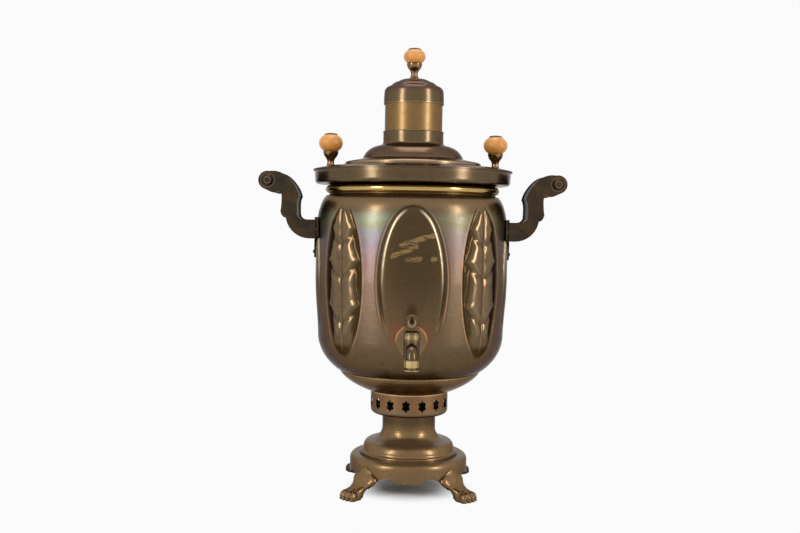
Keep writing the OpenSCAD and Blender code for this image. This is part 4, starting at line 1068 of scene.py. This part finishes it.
# Soft lamps: place, what each aims at, and size, in metres
LAMPS = {
    "lamp_left": ((-1.45, -1.35, 0.75), (0, 0, 0.25), (0.32, 1.3)),
    "lamp_right": ((1.65, -1.1, 0.75), (0, 0, 0.25), (0.32, 1.3)),
    "lamp_top": ((0, 0.1, 2.2), (0, 0, 0.2), (1.2, 1.2)),
}

# Light that dull surfaces get from the surround
FILL = (0.62, 0.63, 0.65)


def camera():
    """A camera in front of the samovar, a little above its middle."""
    data = bpy.data.cameras.new("camera")
    data.lens = settings("stage").lens
    data.sensor_width = 36
    data.shift_y = VIEW_SHIFT
    view = bpy.data.objects.new("camera", data)
    view.location = CAMERA_PLACE
    view.rotation_euler = (math.radians(90), math.radians(CAMERA_ROLL), 0)
    bpy.context.scene.collection.objects.link(view)
    bpy.context.scene.camera = view


def lamps():
    """Tall soft lamps at both sides and a square one above."""
    for name, (place, aim, size) in LAMPS.items():
        data = bpy.data.lights.new(name, "AREA")
        data.shape = "RECTANGLE"
        data.size, data.size_y = size
        data.energy = settings("stage").lamp
        light = bpy.data.objects.new(name, data)
        light.location = place
        light.rotation_euler = (Vector(aim) - Vector(place)).to_track_quat("-Z", "Y").to_euler()
        bpy.context.scene.collection.objects.link(light)


def floor():
    """A pale floor that keeps the samovar's shadow and fades into the surround."""
    sizes = settings("stage")
    bm = bmesh.new()
    bmesh.ops.create_circle(bm, cap_ends=True, segments=96, radius=4)
    mesh = bpy.data.meshes.new("floor")
    bm.to_mesh(mesh)
    bm.free()
    plane = bpy.data.objects.new("floor", mesh)
    bpy.context.scene.collection.objects.link(plane)
    finish = Finish("floor")
    finish.set(base_color=sizes.floor, roughness=0.8, specular_ior_level=0.1)
    away = finish.x.beside(finish.y).step(28, 78)
    seen = finish.add("LightPath", output="Is Camera Ray")
    white = finish.add("Emission", None, {"Color": sizes.backdrop, "Strength": 1.0})
    surface = Value(finish, finish.shader.outputs[0])
    both = finish.add("MixShader", None, {0: away * seen, 1: surface, 2: white})
    finish.join(finish.nodes["Material Output"].inputs["Surface"], both)
    mesh.materials.append(finish.material)


def surround():
    """A pale surround that the camera and the metal see, and a softer fill for the rest."""
    world = bpy.data.worlds.new("studio")
    world.use_nodes = True
    bpy.context.scene.world = world
    tree = Tree(world.node_tree)
    path = tree.add("LightPath")
    shiny = path.output("Is Glossy Ray").at_least(path.output("Is Transmission Ray"))
    seen = path.output("Is Camera Ray").at_least(shiny)
    colour = tree.mix(FILL, settings("stage").backdrop, seen)
    tree.join(tree.nodes["Background"].inputs["Color"], colour)


# ---- Operators ------------------------------------------------------------------------------


class SAMOVAR_OT_stage(bpy.types.Operator):
    """Sets up the camera, the floor, the lamps and the surround"""

    bl_idname = "samovar.stage"
    bl_label = "Stage"

    def execute(self, context):
        camera()
        floor()
        surround()
        lamps()
        context.scene.view_settings.view_transform = "Standard"
        return {"FINISHED"}


class SAMOVAR_OT_finishes(bpy.types.Operator):
    """Gives the frame's parts their metal, wood, iron and leather"""

    bl_idname = "samovar.finishes"
    bl_label = "Finishes"

    def execute(self, context):
        dress_frame()
        return {"FINISHED"}


class SAMOVAR_OT_wall(bpy.types.Operator):
    """Builds the embossed wall of the water body"""

    bl_idname = "samovar.wall"
    bl_label = "Embossed wall"

    def execute(self, context):
        panelled_wall()
        return {"FINISHED"}


class SAMOVAR_OT_paws(bpy.types.Operator):
    """Builds the four lion paws"""

    bl_idname = "samovar.paws"
    bl_label = "Lion paws"

    def execute(self, context):
        paws()
        return {"FINISHED"}


class SAMOVAR_OT_screws(bpy.types.Operator):
    """Builds the screws that hold the paws"""

    bl_idname = "samovar.screws"
    bl_label = "Screws"

    def execute(self, context):
        screws()
        return {"FINISHED"}


class SAMOVAR_PT_parts(bpy.types.Panel):
    """Lists the sizes and colours, and the operators that build the samovar"""

    bl_label = "Samovar"
    bl_space_type = "VIEW_3D"
    bl_region_type = "UI"
    bl_category = "Samovar"

    def draw(self, context):
        for name in GROUPS:
            box = self.layout.box()
            box.label(text=name.capitalize())
            group = settings(name)
            for key in group.__annotations__:
                box.prop(group, key)
        for operator in OPERATORS:
            self.layout.operator(operator.bl_idname)


GROUPS = {
    "finish": SamovarFinish, "wall": SamovarWall, "feet": SamovarFeet, "stage": SamovarStage,
}
OPERATORS = (
    SAMOVAR_OT_stage, SAMOVAR_OT_finishes, SAMOVAR_OT_wall, SAMOVAR_OT_paws, SAMOVAR_OT_screws,
)
CLASSES = (*GROUPS.values(), *OPERATORS, SAMOVAR_PT_parts)


def register():
    for each in CLASSES:
        bpy.utils.register_class(each)
    for name, group in GROUPS.items():
        setattr(bpy.types.Scene, f"samovar_{name}", PointerProperty(type=group))


def unregister():
    for name in GROUPS:
        delattr(bpy.types.Scene, f"samovar_{name}")
    for each in reversed(CLASSES):
        bpy.utils.unregister_class(each)


def main():
    register()
    bpy.ops.samovar.stage()
    bpy.ops.samovar.finishes()
    bpy.ops.samovar.wall()
    bpy.ops.samovar.paws()
    bpy.ops.samovar.screws()


if __name__ == "__main__":
    main()
